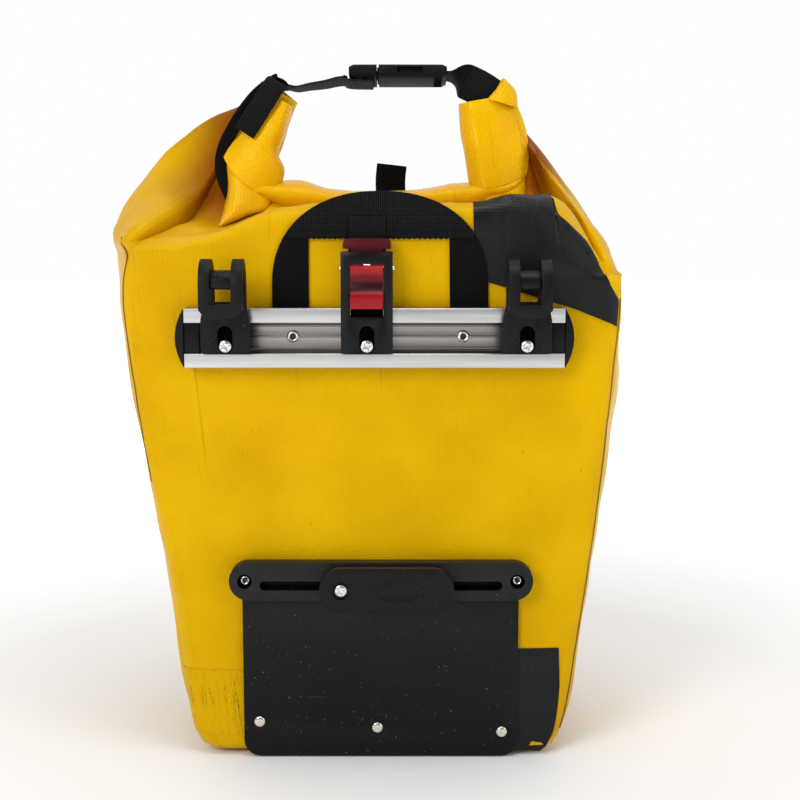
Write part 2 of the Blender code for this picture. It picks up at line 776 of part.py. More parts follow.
def rail_fixing(suffix, x):
    """Screw and channel nut that clamp a hook or the catch to the rail's lips."""
    clamp_screw(f"{suffix}_screw", x, SCREW_Z, RECESS_FLOOR_Y - GAP, 2.3 * MM, -82.8 * MM)
    back_of_lips = RAIL_FRONT_Y + RAIL_LIP + GAP
    clamp_nut(f"{suffix}_nut", x, RAIL_Z, SCREW_Z, 7 * MM, 13 * MM, back_of_lips, -84 * MM)


def channel_boss(obj, x, half_length):
    low = (x - half_length, PLATE_BACK_Y - MM, RAIL_Z - 9.7 * MM)
    high = (x + half_length, RAIL_FRONT_Y + RAIL_LIP, RAIL_Z + 9.7 * MM)
    join(obj, box(low, high))


def hook(side):
    x = HOOK_X[side]
    shoulder = FORK_HALF_WIDTH - 0.4 * MM
    base = [
        (x - HOOK_BASE_HALF_WIDTH, FIXING_BOTTOM_Z),
        (x + HOOK_BASE_HALF_WIDTH, FIXING_BOTTOM_Z),
        (x + HOOK_BASE_HALF_WIDTH, 308 * MM),
        (x + shoulder, HOOK_BASE_TOP_Z),
        (x - shoulder, HOOK_BASE_TOP_Z),
        (x - HOOK_BASE_HALF_WIDTH, 308 * MM),
    ]
    made = mesh_object(f"hook_{side}", prism(base, PLATE_FRONT_Y, PLATE_BACK_Y, "Y"), black_plastic())
    profile = [(TUBE_Y + HOOK_OUTER_R, PRONG_FOOT_Z)]
    profile += arc((TUBE_Y, TUBE_Z), HOOK_OUTER_R, 0, 180, 10)
    profile += [(TUBE_Y - HOOK_OUTER_R, PRONG_FOOT_Z), (TUBE_Y - HOOK_INNER_R, PRONG_FOOT_Z)]
    profile += arc((TUBE_Y, TUBE_Z), HOOK_INNER_R, 180, 0, 10)
    profile += [(TUBE_Y + HOOK_INNER_R, PRONG_FOOT_Z)]
    inner = FORK_HALF_WIDTH - PRONG_WIDTH
    join(made, prism(profile, x - FORK_HALF_WIDTH, x - inner, "X"))
    join(made, prism(profile, x + inner, x + FORK_HALF_WIDTH, "X"))
    chin = [
        (x - FORK_HALF_WIDTH, HOOK_BASE_TOP_Z),
        (x - FORK_HALF_WIDTH, PRONG_FOOT_Z),
        (x - 9 * MM, HOOK_TIP_Z),
        (x + 9 * MM, HOOK_TIP_Z),
        (x + FORK_HALF_WIDTH, PRONG_FOOT_Z),
        (x + FORK_HALF_WIDTH, HOOK_BASE_TOP_Z),
    ]
    join(made, prism(chin, TUBE_Y - HOOK_OUTER_R, TUBE_Y - HOOK_INNER_R, "Y"))
    channel_boss(made, x, 12 * MM)
    fixing_recess(made, x)


def hook_insert(side):
    """Liner that narrows the hook for a thinner rack tube, with a tongue between the prongs."""
    x = HOOK_X[side]
    profile = arc((TUBE_Y, TUBE_Z), INSERT_OUTER_R, -25, 205, 14)
    profile += arc((TUBE_Y, TUBE_Z), INSERT_INNER_R, 205, -25, 14)
    liner = prism(profile, x - FORK_HALF_WIDTH + GAP, x + FORK_HALF_WIDTH - GAP, "X")
    made = mesh_object(f"hook_insert_{side}", liner, black_plastic())
    half = FORK_HALF_WIDTH - PRONG_WIDTH - GAP
    low = (x - half, TUBE_Y - 13 * MM, 330.5 * MM)
    high = (x + half, TUBE_Y - 8 * MM, 337 * MM)
    join(made, box(low, high))


# ================================================================ catch
def catch_housing():
    x = CATCH_X
    low = (x - CATCH_HALF_WIDTH, PLATE_FRONT_Y, FIXING_BOTTOM_Z)
    high = (x + CATCH_HALF_WIDTH, PLATE_BACK_Y, CATCH_TOP_Z)
    made = mesh_object("catch_housing", box(low, high), black_plastic())
    for sign in (-1, 1):
        ends = sorted((x + sign * CATCH_WALL_INNER, x + sign * CATCH_HALF_WIDTH))
        low = (ends[0], PLATE_BACK_Y - MM, RAIL_Z + RAIL_HALF_HEIGHT + 0.7 * MM)
        join(made, box(low, (ends[1], CATCH_WALL_BACK_Y, CATCH_TOP_Z)))
    low = (x - WINDOW_HALF_WIDTH, PLATE_FRONT_Y - MM, WINDOW_Z[0])
    cut(made, box(low, (x + WINDOW_HALF_WIDTH, PLATE_BACK_Y + MM, WINDOW_Z[1])))
    low = (x - CATCH_WALL_INNER, PLATE_BACK_Y - 1.2 * MM, WINDOW_Z[1] - MM)
    cut(made, box(low, (x + CATCH_WALL_INNER, PLATE_BACK_Y + MM, CATCH_TOP_Z + MM)))
    channel_boss(made, x, 12 * MM)
    fixing_recess(made, x)
    cut(made, x_rod(x - 20 * MM, x + 20 * MM, PIN_R + GAP))


def x_rod(x0, x1, radius, segments=16):
    """Rod along X on the lever's pivot."""
    last = 360 * (segments - 1) / segments
    return prism(arc((PIN_Y, PIN_Z), radius, 0, last, segments - 1), x0, x1, "X")


def catch_lever():
    """Sprung lever: a tab to pull, a hollow that the tube rests in, and a lip that locks under it."""
    x = CATCH_X
    back_and_crown = [
        (-88, 319),
        (-88, 338.5),
        (-85.6, 342),
        (-91, 344.3),
        (-94.5, 344.3),
        (-96.6, 342.5),
    ]
    profile = [(y * MM, z * MM) for y, z in back_and_crown]
    profile += arc((TUBE_Y, TUBE_Z), HOOK_INNER_R + 0.4 * MM, 38, -62, 8)
    profile += [(y * MM, z * MM) for y, z in ((-105.5, 323.4), (-105.5, 316.3), (-100, 318.2), (-95, 319))]
    red = material("red_plastic", (0.42, 0.008, 0.016), 0.35)
    made = mesh_object("catch_lever", prism(profile, x - LEVER_HALF_WIDTH, x + LEVER_HALF_WIDTH, "X"), red)
    join(made, x_rod(x - LEVER_HALF_WIDTH, x + LEVER_HALF_WIDTH, PIN_BOSS_R, 14))
    low = (x - LEVER_HALF_WIDTH, PIN_Y - MM, PIN_Z)
    join(made, box(low, (x + LEVER_HALF_WIDTH, PIN_Y + 2 * MM, 358 * MM)))
    half = LEVER_TAB_HALF_WIDTH
    corner = 3.5 * MM
    tab = [(x - half, 354.8 * MM), (x + half, 354.8 * MM)]
    tab += arc((x + half - corner, 358.1 * MM), corner, 0, 90, 4)
    tab += arc((x - half + corner, 358.1 * MM), corner, 90, 180, 4)
    join(made, prism(tab, PIN_Y - MM, PIN_Y + 2 * MM, "Y"))
    cut(made, x_rod(x - 20 * MM, x + 20 * MM, PIN_R + GAP))
    low = (x - 2.5 * MM, PIN_Y - 4.8 * MM, PIN_Z - 4.4 * MM)
    cut(made, box(low, (x + 2.5 * MM, PIN_Y + 5 * MM, PIN_Z + 4.4 * MM)))


def catch_pin_and_spring():
    mesh_object("catch_pin", x_rod(CATCH_X - 18.4 * MM, CATCH_X + 18.4 * MM, PIN_R), steel())
    spring = mesh_object("catch_spring", x_rod(CATCH_X - 2.1 * MM, CATCH_X + 2.1 * MM, 3.6 * MM, 14), steel())
    cut(spring, x_rod(CATCH_X - 5 * MM, CATCH_X + 5 * MM, PIN_R + 0.4 * MM, 14))


# ================================================================ lower bar, foot and scuff plate
def lower_bar():
    outline = rounded_rectangle((BAR_X, BAR_Z), BAR_LENGTH, BAR_HEIGHT, BAR_HEIGHT / 2 - 0.05 * MM, 8)
    made = mesh_object("lower_bar", prism(outline, BAR_FRONT_Y, BAR_BACK_Y, "Y"), black_plastic())
    slot = rounded_rectangle((BAR_X, BAR_Z - 3 * MM), BAR_SLOT_LENGTH, BAR_SLOT_HEIGHT, 3.2 * MM, 4)
    cut(made, prism(slot, BAR_FRONT_Y - MM, BAR_BACK_Y + MM, "Y"))
    length = BAR_SLOT_LENGTH + 2 * MM
    groove = rounded_rectangle((BAR_X, BAR_Z - 3 * MM), length, BAR_GROOVE_HEIGHT, 2 * MM, 2)
    cut(made, prism(groove, BAR_GROOVE_FLOOR_Y, BAR_BACK_Y + MM, "Y"))
    for x in bar_rivets().values():
        cut(made, hole(x, BAR_Z, 5 * MM, BAR_FRONT_Y - MM, -83.5 * MM))
        cut(made, hole(x, BAR_Z, HOLE_R, -84 * MM, BAR_BACK_Y + MM, 12))


def foot():
    """Anchor arm: swivels on its screw, and its free end reaches behind a stay of the rack."""
    outline = rounded_rectangle(FOOT_CENTRE, FOOT_LENGTH, FOOT_HEIGHT, 14 * MM, 6)
    made = mesh_object("foot", prism(outline, *FOOT_PLATE_Y, "Y"), black_plastic())
    join(made, hole(FOOT_SCREW_X, FOOT_SCREW_Z, 12.4 * MM, FOOT_PLATE_Y[1] - MM, BAR_FRONT_Y - GAP, 20))
    cut(made, hole(FOOT_SCREW_X, FOOT_SCREW_Z, 6.25 * MM, FOOT_PLATE_Y[0] - MM, -99 * MM, 18))
    cut(made, hole(FOOT_SCREW_X, FOOT_SCREW_Z, HOLE_R, -100 * MM, BAR_FRONT_Y + MM, 12))
    oval = []
    for i in range(24):
        angle = math.tau * i / 24
        oval.append(((16.7 + 16.5 * math.cos(angle)) * MM, (125.2 + 7 * math.sin(angle)) * MM))
    cut(made, prism(oval, FOOT_PLATE_Y[0] - MM, FOOT_PLATE_Y[0] + 0.8 * MM, "Y"))
    clamp_screw("foot_screw", FOOT_SCREW_X, FOOT_SCREW_Z, -99.3 * MM, 2.3 * MM, -79.6 * MM)
    half_nut = 5.5 * MM
    place = (FOOT_SCREW_X, FOOT_SCREW_Z, FOOT_SCREW_Z)
    clamp_nut("foot_nut", *place, half_nut, half_nut, -84.6 * MM, -80 * MM)


def scuff_plate():
    left, right = SCUFF_X
    bottom, top = SCUFF_Z
    radius = SCUFF_CORNER_R
    outline = [(right, top), (left, top)]
    outline += arc((left + radius, bottom + radius), radius, 180, 270, 5)
    outline += arc((right - radius, bottom + radius), radius, 270, 360, 5)
    gloss = material("gloss_black_plastic", (0.01, 0.01, 0.012), 0.12)
    made = mesh_object("scuff_plate", prism(outline, *SCUFF_Y, "Y"), gloss)
    for x, z in SCUFF_RIVETS.values():
        cut(made, hole(x * MM, z * MM, HOLE_R, SCUFF_Y[0] - MM, SCUFF_Y[1] + MM, 12))


# ================================================================ closing strap and buckle
def tilted(x, across, up):
    """World point from the buckle's own axes: along X, across its width, and through its thickness."""
    cos, sin = math.cos(BUCKLE_TILT), math.sin(BUCKLE_TILT)
    return Vector((x, BUCKLE_Y + across * cos + up * sin, BUCKLE_Z - across * sin + up * cos))


def buckle_block(x, across, up, corner=0.0):
    """Block in the buckle's axes. Each size is a (low, high) pair, and corner cuts its long edges."""
    (a0, a1), (u0, u1) = across, up
    c = corner
    section = [(a0 + c, u0), (a1 - c, u0), (a1, u0 + c), (a1, u1 - c)]
    section += [(a1 - c, u1), (a0 + c, u1), (a0, u1 - c), (a0, u0 + c)]
    if not corner:
        section = [(a0, u0), (a1, u0), (a1, u1), (a0, u1)]
    bm = bmesh.new()
    rings = [[bm.verts.new(tilted(end, a, u)) for a, u in section] for end in x]
    bm.faces.new(rings[0])
    bm.faces.new(list(reversed(rings[1])))
    for i in range(len(section)):
        j = (i + 1) % len(section)
        bm.faces.new((rings[0][j], rings[0][i], rings[1][i], rings[1][j]))
    bmesh.ops.recalc_face_normals(bm, faces=bm.faces)
    return bm


def pair(half):
    return (-half, half)


def buckle():
    w, t = BUCKLE_HALF_WIDTH, BUCKLE_HALF_THICKNESS
    male = mesh_object("buckle_male", buckle_block(MALE_X, pair(w), pair(t), 1.6 * MM), black_plastic())
    join(male, buckle_block((0, 34 * MM), pair(3.4 * MM), pair(2.6 * MM)))
    cut(male, buckle_block((-14 * MM, -9.5 * MM), pair(13 * MM), pair(t + MM)))
    cut(male, buckle_block((-6 * MM, -1.5 * MM), pair(13 * MM), pair(t + MM)))
    female = mesh_object("buckle_female", buckle_block(FEMALE_X, pair(w), pair(t), 1.6 * MM), black_plastic())
    cut(female, buckle_block((0, 38 * MM), pair(14 * MM), pair(3.8 * MM)))
    cut(female, buckle_block((15 * MM, 33 * MM), pair(w + MM), pair(3.3 * MM)))
    cut(female, buckle_block((41 * MM, 46.5 * MM), pair(13 * MM), pair(t + MM)))
    for name, sign in (("front", -1), ("rear", 1)):
        across = tuple(sorted((sign * 8.6 * MM, sign * 13.4 * MM)))
        arm = buckle_block((ARM_ROOT_X, 34 * MM), across, pair(2.9 * MM))
        mesh_object(f"buckle_arm_{name}", arm, black_plastic())


def strap(name, route, first_side):
    """Webbing that turns from its first width direction to the buckle's."""
    points = smooth_path([Vector(p) * MM for p in route], 5)
    last_side = tilted(0, MM, 0) - tilted(0, 0, 0)
    sides = []
    for i in range(len(points)):
        share = i / (len(points) - 1)
        share = share * share * (3 - 2 * share)
        sides.append(Vector(first_side).lerp(last_side.normalized(), share))
    mesh_object(name, ribbon(points, sides, STRAP_WIDTH, STRAP_THICKNESS), black_webbing())


def straps():
    left = [(-66.3, 6, 465.5), (-63.4, 6, 468.8), (-57, 5.4, 469.2), (-47, 4.6, 468)]
    left += [(-36, 4, 471), (-26, 4, 474), (-19.9, 4, 474)]
    strap("strap_left", left, (0.6, 0.7, -0.38))
    right = [(82.5, 6, 466), (80.5, 6, 471), (75.5, 5.6, 475.4), (68, 4.8, 476.6)]
    right += [(60, 4.2, 475), (51, 4, 474)]
    strap("strap_right", right, (-0.93, 0, -0.37))
    tab = [Vector((x, y, z)) * MM for x, y, z in ((10, 34, 392), (10, 33, 402), (11, 31, 412))]
    keeper = ribbon(tab, [Vector((1, 0, 0.12))] * 3, 22 * MM, STRAP_THICKNESS)
    mesh_object("keeper_strap", keeper, black_webbing())


def set_origin(name, point):
    """Moves an object's origin to a point, and leaves its shape where it is."""
    obj = bpy.data.objects[name]
    obj.data = obj.data.copy()
    obj.data.transform(Matrix.Translation(-Vector(point)))
    obj.location = point


def put_origins_on_joints():
    for side, x in HOOK_X.items():
        for piece in ("hook_{}", "hook_insert_{}", "hook_{}_screw", "hook_{}_nut"):
            set_origin(piece.format(side), (x, TUBE_Y, TUBE_Z))
    for piece in ("catch_housing", "catch_lever", "catch_pin", "catch_spring", "catch_screw", "catch_nut"):
        set_origin(piece, (CATCH_X, PIN_Y, PIN_Z))
    for piece in ("foot", "foot_screw", "foot_nut"):
        set_origin(piece, (FOOT_SCREW_X, FOOT_AXIS_Y, FOOT_SCREW_Z))
    set_origin("buckle_male", (0, BUCKLE_Y, BUCKLE_Z))
    for name, sign in (("front", -1), ("rear", 1)):
        set_origin(f"buckle_arm_{name}", tilted(ARM_ROOT_X, sign * ARM_ACROSS, 0))


def main():
    clear_scene()
    bag_panels()
    rolled_collar()
    stiffener_strip()
    webbing_tab()
    back_board()
    patches()
    carry_handle()
    release_strap()
    rail()
    rail_caps()
    rivets()
    for side in HOOK_X:
        hook(side)
        hook_insert(side)
        rail_fixing(f"hook_{side}", HOOK_X[side])
    catch_housing()
    catch_lever()
    catch_pin_and_spring()
    rail_fixing("catch", CATCH_X)
    lower_bar()
    foot()
    scuff_plate()
    buckle()
    straps()
    put_origins_on_joints()


main()
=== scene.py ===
"""Looks of a roll-top bicycle pannier bag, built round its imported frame, in metres.

X runs along the rack rail, -Y faces the bicycle rack and +Z is up, as in the frame.
"""

import json
import math

import bmesh
import bpy
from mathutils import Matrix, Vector, noise


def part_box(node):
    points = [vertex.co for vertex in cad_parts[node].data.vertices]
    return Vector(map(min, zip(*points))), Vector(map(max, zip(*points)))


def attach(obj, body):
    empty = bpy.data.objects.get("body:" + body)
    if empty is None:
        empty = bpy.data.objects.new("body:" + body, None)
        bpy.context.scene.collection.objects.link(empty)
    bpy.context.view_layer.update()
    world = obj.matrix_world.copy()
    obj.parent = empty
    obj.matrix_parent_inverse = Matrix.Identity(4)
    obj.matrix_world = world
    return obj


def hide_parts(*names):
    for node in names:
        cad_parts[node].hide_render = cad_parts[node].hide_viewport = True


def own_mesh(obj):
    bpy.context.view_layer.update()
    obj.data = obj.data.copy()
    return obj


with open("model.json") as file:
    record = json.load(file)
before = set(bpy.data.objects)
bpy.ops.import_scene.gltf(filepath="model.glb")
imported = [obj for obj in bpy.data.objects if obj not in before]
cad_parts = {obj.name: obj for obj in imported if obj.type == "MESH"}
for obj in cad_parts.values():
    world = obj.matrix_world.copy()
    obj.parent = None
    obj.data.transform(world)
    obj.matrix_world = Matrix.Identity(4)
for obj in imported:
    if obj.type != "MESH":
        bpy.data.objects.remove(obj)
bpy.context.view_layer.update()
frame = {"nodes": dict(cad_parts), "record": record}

MM = 0.001
BODY_OF = {
    node: body
    for body, members in frame["record"]["behaviour"]["bodies"].items()
    for node in members
}


# ================================================================ camera and studio
def camera():
    data = bpy.data.cameras.new("camera")
    data.sensor_width = 36
    data.lens = 66.15
    obj = bpy.data.objects.new("camera", data)
    obj.location = (0.017, -1.0653, 0.3912)
    obj.rotation_euler = (math.radians(82), 0, 0)
    bpy.context.scene.collection.objects.link(obj)
    bpy.context.scene.camera = obj


def area_light(name, place, target, size, watts):
    data = bpy.data.lights.new(name, "AREA")
    data.size = size
    data.energy = watts
    obj = bpy.data.objects.new(name, data)
    obj.location = place
    away = Vector(place) - Vector(target)
    obj.rotation_euler = away.to_track_quat("Z", "Y").to_euler()
    bpy.context.scene.collection.objects.link(obj)


def studio():
    """White studio: bright behind and above the bag, darker on the viewer's side."""
    world = bpy.data.worlds.new("studio")
    world.use_nodes = True
    tree = world.node_tree
    soft = tree.nodes["Background"]
    direction = add(tree, "ShaderNodeTexCoord").outputs["Generated"]
    parts = add(tree, "ShaderNodeSeparateXYZ", {0: direction}).outputs
    behind = between(tree, parts["Y"], -0.4, 0.7, 0.2, 0.8)
    above = between(tree, parts["Z"], 0.1, 1.0, 0.0, 0.3)
    tree.links.new(maths(tree, "ADD", behind, above), soft.inputs["Strength"])
    soft.inputs["Color"].default_value = (1, 1, 1, 1)
    plain = add(tree, "ShaderNodeBackground", {"Color": (1, 1, 1, 1), "Strength": 1.0}).outputs[0]
    seen = add(tree, "ShaderNodeLightPath").outputs["Is Camera Ray"]
    both = add(tree, "ShaderNodeMixShader", {0: seen, 1: soft.outputs[0], 2: plain}).outputs[0]
    tree.links.new(both, tree.nodes["World Output"].inputs["Surface"])
    bpy.context.scene.world = world
    bpy.context.scene.view_settings.view_transform = "Standard"
    middle = (0, 0, 0.25)
    area_light("key", (-0.8, -1.25, 0.95), middle, 0.7, 11)
    area_light("fill", (1.35, -0.8, 0.7), middle, 0.9, 5)
    area_light("top", (0.1, -0.35, 1.5), middle, 0.7, 6)
    bm = bmesh.new()
    bmesh.ops.create_grid(bm, x_segments=8, y_segments=8, size=6)
    floor = link("floor", bm, floor_material())
    floor.location.z = -0.0005


# ================================================================ node helpers
def new_material(name):
    made = bpy.data.materials.new(name)
    made.use_nodes = True
    return made, made.node_tree, made.node_tree.nodes["Principled BSDF"]


def give(node, key, value):
    """Sets a node's input to a value, or links it to another node's output socket."""
    if isinstance(value, bpy.types.NodeSocket):
        node.id_data.links.new(value, node.inputs[key])
    else:
        node.inputs[key].default_value = value


def add(tree, kind, inputs=None, **settings):
    made = tree.nodes.new(kind)
    for key, value in settings.items():
        setattr(made, key, value)
    for key, value in (inputs or {}).items():
        give(made, key, value)
    return made


def coordinates(tree, stretch, use_uv=False):
    source = add(tree, "ShaderNodeTexCoord").outputs["UV" if use_uv else "Object"]
    return add(tree, "ShaderNodeMapping", {"Vector": source, "Scale": stretch}).outputs[0]


def noise_at(tree, vector, scale, detail=3.0, roughness=0.5):
    inputs = {"Vector": vector, "Scale": scale, "Detail": detail, "Roughness": roughness}
    return add(tree, "ShaderNodeTexNoise", inputs).outputs[0]


def between(tree, value, low, high, to_low=0.0, to_high=1.0):
    """Value mapped from low..high to to_low..to_high, and clamped there."""
    inputs = {"Value": value, "From Min": low, "From Max": high}
    inputs.update({"To Min": to_low, "To Max": to_high})
    return add(tree, "ShaderNodeMapRange", inputs).outputs[0]


def mix(tree, factor, first, second):
    """Blend of two colours, each a socket or an RGB triple."""
    made = add(tree, "ShaderNodeMix", data_type="RGBA")
    give(made, 0, factor)
    for key, value in ((6, first), (7, second)):
        give(made, key, value if isinstance(value, bpy.types.NodeSocket) else (*value, 1))
    return made.outputs[2]


def maths(tree, operation, first, second):
    return add(tree, "ShaderNodeMath", {0: first, 1: second}, operation=operation).outputs[0]


def bump(tree, shader, height, distance, strength=1.0, under=None):
    inputs = {"Height": height, "Distance": distance, "Strength": strength}
    if under is not None:
        inputs["Normal"] = under
    made = add(tree, "ShaderNodeBump", inputs).outputs[0]
    give(shader, "Normal", made)
    return made


def threads(tree, vector, pitch_x, pitch_y):
    """Raised crossings of a plain weave, 0 to 1, from coordinates in metres."""
    waves = []
    for direction, pitch in (("X", pitch_x), ("Y", pitch_y)):
        scale = math.tau / 20 / pitch
        wave = add(tree, "ShaderNodeTexWave", {"Vector": vector, "Scale": scale},
                   wave_type="BANDS", bands_direction=direction)
        waves.append(wave.outputs["Fac"])
    return waves


# ================================================================ materials
def floor_material():
    """Pale floor that brightens into the white of the studio away from the bag."""
    made, tree, shader = new_material("pale_floor")
    place = coordinates(tree, (1, 1, 1))
    away = add(tree, "ShaderNodeVectorMath", {0: place}, operation="LENGTH").outputs["Value"]
    give(shader, "Base Color", (0.9, 0.9, 0.9, 1))
    give(shader, "Roughness", 0.7)
    give(shader, "Emission Color", (1, 1, 1, 1))
    give(shader, "Emission Strength", between(tree, away, 0.35, 1.1, 0.0, 0.75))
    return made


def coated_fabric(name, bright, deep, grime, gloss, print_through=0.2, level=0.32, tint=(1, 1, 1)):
    """PVC-coated polyester: a weave that prints through, soft mottling, and fine dirt lines."""
    made, tree, shader = new_material(name)
    cloth = coordinates(tree, (1, 1, 1), use_uv=True)
    place = coordinates(tree, (1, 1, 1))
    mottle = noise_at(tree, place, 9, 4)
    colour = mix(tree, between(tree, mottle, 0.3, 0.7), bright, deep)
    warp, weft = threads(tree, cloth, 1.9 * MM, 1.9 * MM)
    crossing = maths(tree, "MULTIPLY", warp, weft)
    fresh = between(tree, noise_at(tree, place, 18, 3), 0.35, 0.65, 0.35, 1.0)
    printed = maths(tree, "MULTIPLY", between(tree, crossing, 0.0, 1.0, print_through, 0.0), fresh)
    colour = mix(tree, printed, colour, tuple(0.62 * v for v in deep))
    lines = noise_at(tree, coordinates(tree, (420, 4, 1), use_uv=True), 1, 3)
    where = noise_at(tree, coordinates(tree, (13, 13, 13)), 1, 2)
    where = between(tree, where, 0.45, 0.6)
    lines = maths(tree, "MULTIPLY", between(tree, lines, 0.655, 0.72), where)
    colour = mix(tree, maths(tree, "MULTIPLY", lines, 0.4), colour, grime)
    specks = between(tree, noise_at(tree, place, 380, 2), 0.745, 0.77, 0.0, 0.35)
    colour = mix(tree, specks, colour, grime)
    wear = add(tree, "ShaderNodeAttribute", attribute_name="wear").outputs["Fac"]
    strokes = noise_at(tree, coordinates(tree, (620, 40, 1), use_uv=True), 1, 4, 0.6)
    broken = noise_at(tree, coordinates(tree, (900, 420, 1), use_uv=True), 1, 3, 0.7)
    streaks = noise_at(tree, coordinates(tree, (70, 6, 1), use_uv=True), 1, 2)
    broken = between(tree, broken, 0.42, 0.56)
    scuffs = maths(tree, "MULTIPLY", between(tree, strokes, 0.52, 0.64), broken)
    scuffs = maths(tree, "MULTIPLY", scuffs, between(tree, streaks, 0.44, 0.6))
    colour = mix(tree, maths(tree, "MULTIPLY", scuffs, wear), colour, grime)
    # Painted shade: the shade attribute turns the cloth a dark orange-brown in deep folds, where
    # shadow falls.
    shade = add(tree, "ShaderNodeAttribute", attribute_name="shade").outputs["Fac"]
    colour = mix(tree, shade, colour, tuple(v * k for v, k in zip(deep, (0.34, 0.15, 0.1))))
    give(shader, "Base Color", colour)
    patchy = noise_at(tree, place, 26, 4)
    give(shader, "Roughness", between(tree, patchy, 0.3, 0.7, gloss, gloss + 0.14))
    give(shader, "Specular IOR Level", level)
    give(shader, "Specular Tint", (*tint, 1))
    soft = bump(tree, shader, noise_at(tree, place, 110, 5, 0.6), 0.0006, 0.4)
    bump(tree, shader, crossing, 0.00016, 0.9, soft)
    return made


def webbing(name, pitch=1.35 * MM, lighter=0.055, relief=0.0005):
    """Woven polypropylene tape with its rows of raised threads."""
    made, tree, shader = new_material(name)
    tape = coordinates(tree, (1, 1, 1), use_uv=True)
    along, across = threads(tree, tape, pitch, pitch)
    crossing = maths(tree, "MULTIPLY", along, across)
    fibre = noise_at(tree, tape, 2600, 2)
    frayed = between(tree, fibre, 0.3, 0.7, 0.5, 1)
    raised = maths(tree, "MULTIPLY", between(tree, crossing, 0.35, 1.0), frayed)
    colour = mix(tree, raised, (0.001, 0.001, 0.0013), (lighter, lighter, lighter * 1.02))
    give(shader, "Base Color", colour)
    give(shader, "Roughness", 0.62)
    give(shader, "Specular IOR Level", 0.08)
    under = bump(tree, shader, fibre, 0.0001, 0.3)
    bump(tree, shader, crossing, relief, 0.8, under)
    return made


def moulded(name, colour, rough, grain_scale=1500, grain=0.00012, dust=0.0, level=0.17):
    """Moulded nylon with spark-eroded grain and a little dust."""
    made, tree, shader = new_material(name)
    place = coordinates(tree, (1, 1, 1))
    tone = between(tree, noise_at(tree, place, 60, 4), 0.3, 0.7)
    shaded = mix(tree, tone, colour, tuple(1.6 * v for v in colour))
    dusty = between(tree, noise_at(tree, place, 900, 1), 0.74, 0.78, 0.0, dust)
    give(shader, "Base Color", mix(tree, dusty, shaded, (0.5, 0.5, 0.5)))
    rough = between(tree, noise_at(tree, place, 35, 3), 0.3, 0.7, rough, rough + 0.1)
    give(shader, "Roughness", rough)
    give(shader, "Specular IOR Level", level)
    bump(tree, shader, noise_at(tree, place, grain_scale, 3, 0.6), grain, 0.5)
    return made


def with_painted_hollow_shade(made, dark):
    """Paints shade into a part's hollow, halfway up it, where shadow falls."""
    tree = made.node_tree
    shader = tree.nodes["Principled BSDF"]
    held = shader.inputs["Base Color"].links[0].from_socket
    height = add(tree, "ShaderNodeSeparateXYZ", {0: coordinates(tree, (1, 1, 1))}).outputs["Z"]
    fading = between(tree, height, 0.332, 0.342, 1.0, 0.0)
    deep = maths(tree, "MULTIPLY", between(tree, height, 0.3262, 0.3275), fading)
    give(shader, "Base Color", mix(tree, deep, held, dark))
    return made


def gloss_sheet(name):
    """Polished black sheet with specks of dust and hairline scratches."""
    made, tree, shader = new_material(name)
    place = coordinates(tree, (1, 1, 1))
    specks = between(tree, noise_at(tree, place, 620, 1), 0.772, 0.79, 0.0, 0.4)
    hairs = noise_at(tree, coordinates(tree, (18, 18, 900)), 1, 2)
    hairs = between(tree, hairs, 0.74, 0.76, 0.0, 0.08)
    marks = maths(tree, "MAXIMUM", specks, hairs)
    tone = between(tree, noise_at(tree, place, 12, 2), 0.3, 0.7)
    base = mix(tree, tone, (0.002, 0.002, 0.0025), (0.004, 0.004, 0.0045))
    give(shader, "Base Color", mix(tree, marks, base, (0.35, 0.35, 0.35)))
    rough = between(tree, noise_at(tree, place, 30, 4), 0.3, 0.7, 0.16, 0.26)
    give(shader, "Roughness", rough)
    give(shader, "Specular IOR Level", 0.17)
    bump(tree, shader, noise_at(tree, place, 14, 2), 0.002, 0.25)
    return made


def brushed(name, colour, rough):
    """Extruded aluminium, drawn along X, with small nicks and painted shade in its channel."""
    made, tree, shader = new_material(name)
    grain = noise_at(tree, coordinates(tree, (4, 900, 900)), 1, 4, 0.65)
    streak = noise_at(tree, coordinates(tree, (9, 260, 260)), 1, 3)
    nicks = noise_at(tree, coordinates(tree, (230, 500, 500)), 1, 2)
    nicks = between(tree, nicks, 0.74, 0.77, 0.0, 0.8)
    base = mix(tree, between(tree, streak, 0.3, 0.7), colour, tuple(0.78 * v for v in colour))
    # Painted shade: the channel's floor, deeper in Y than the lips, is darker.
    depth = add(tree, "ShaderNodeSeparateXYZ", {0: coordinates(tree, (1, 1, 1))}).outputs["Y"]
    base = mix(tree, between(tree, depth, -0.0875, -0.0815), base, (0.28, 0.26, 0.245))
    give(shader, "Base Color", mix(tree, nicks, base, (0.12, 0.09, 0.07)))
    give(shader, "Metallic", 1.0)
    give(shader, "Roughness", between(tree, grain, 0.3, 0.7, rough, rough + 0.16))
    bump(tree, shader, grain, 0.00006, 0.5)
    return made


def plated(name, colour, rough):
    made, tree, shader = new_material(name)
    place = coordinates(tree, (1, 1, 1))
    tone = between(tree, noise_at(tree, place, 700, 3), 0.3, 0.7)
    give(shader, "Base Color", mix(tree, tone, colour, tuple(0.8 * v for v in colour)))
    give(shader, "Metallic", 1.0)
    give(shader, "Roughness", between(tree, tone, 0, 1, rough, rough + 0.12))
    bump(tree, shader, noise_at(tree, place, 1400, 2), 0.00004, 0.4)
    return made


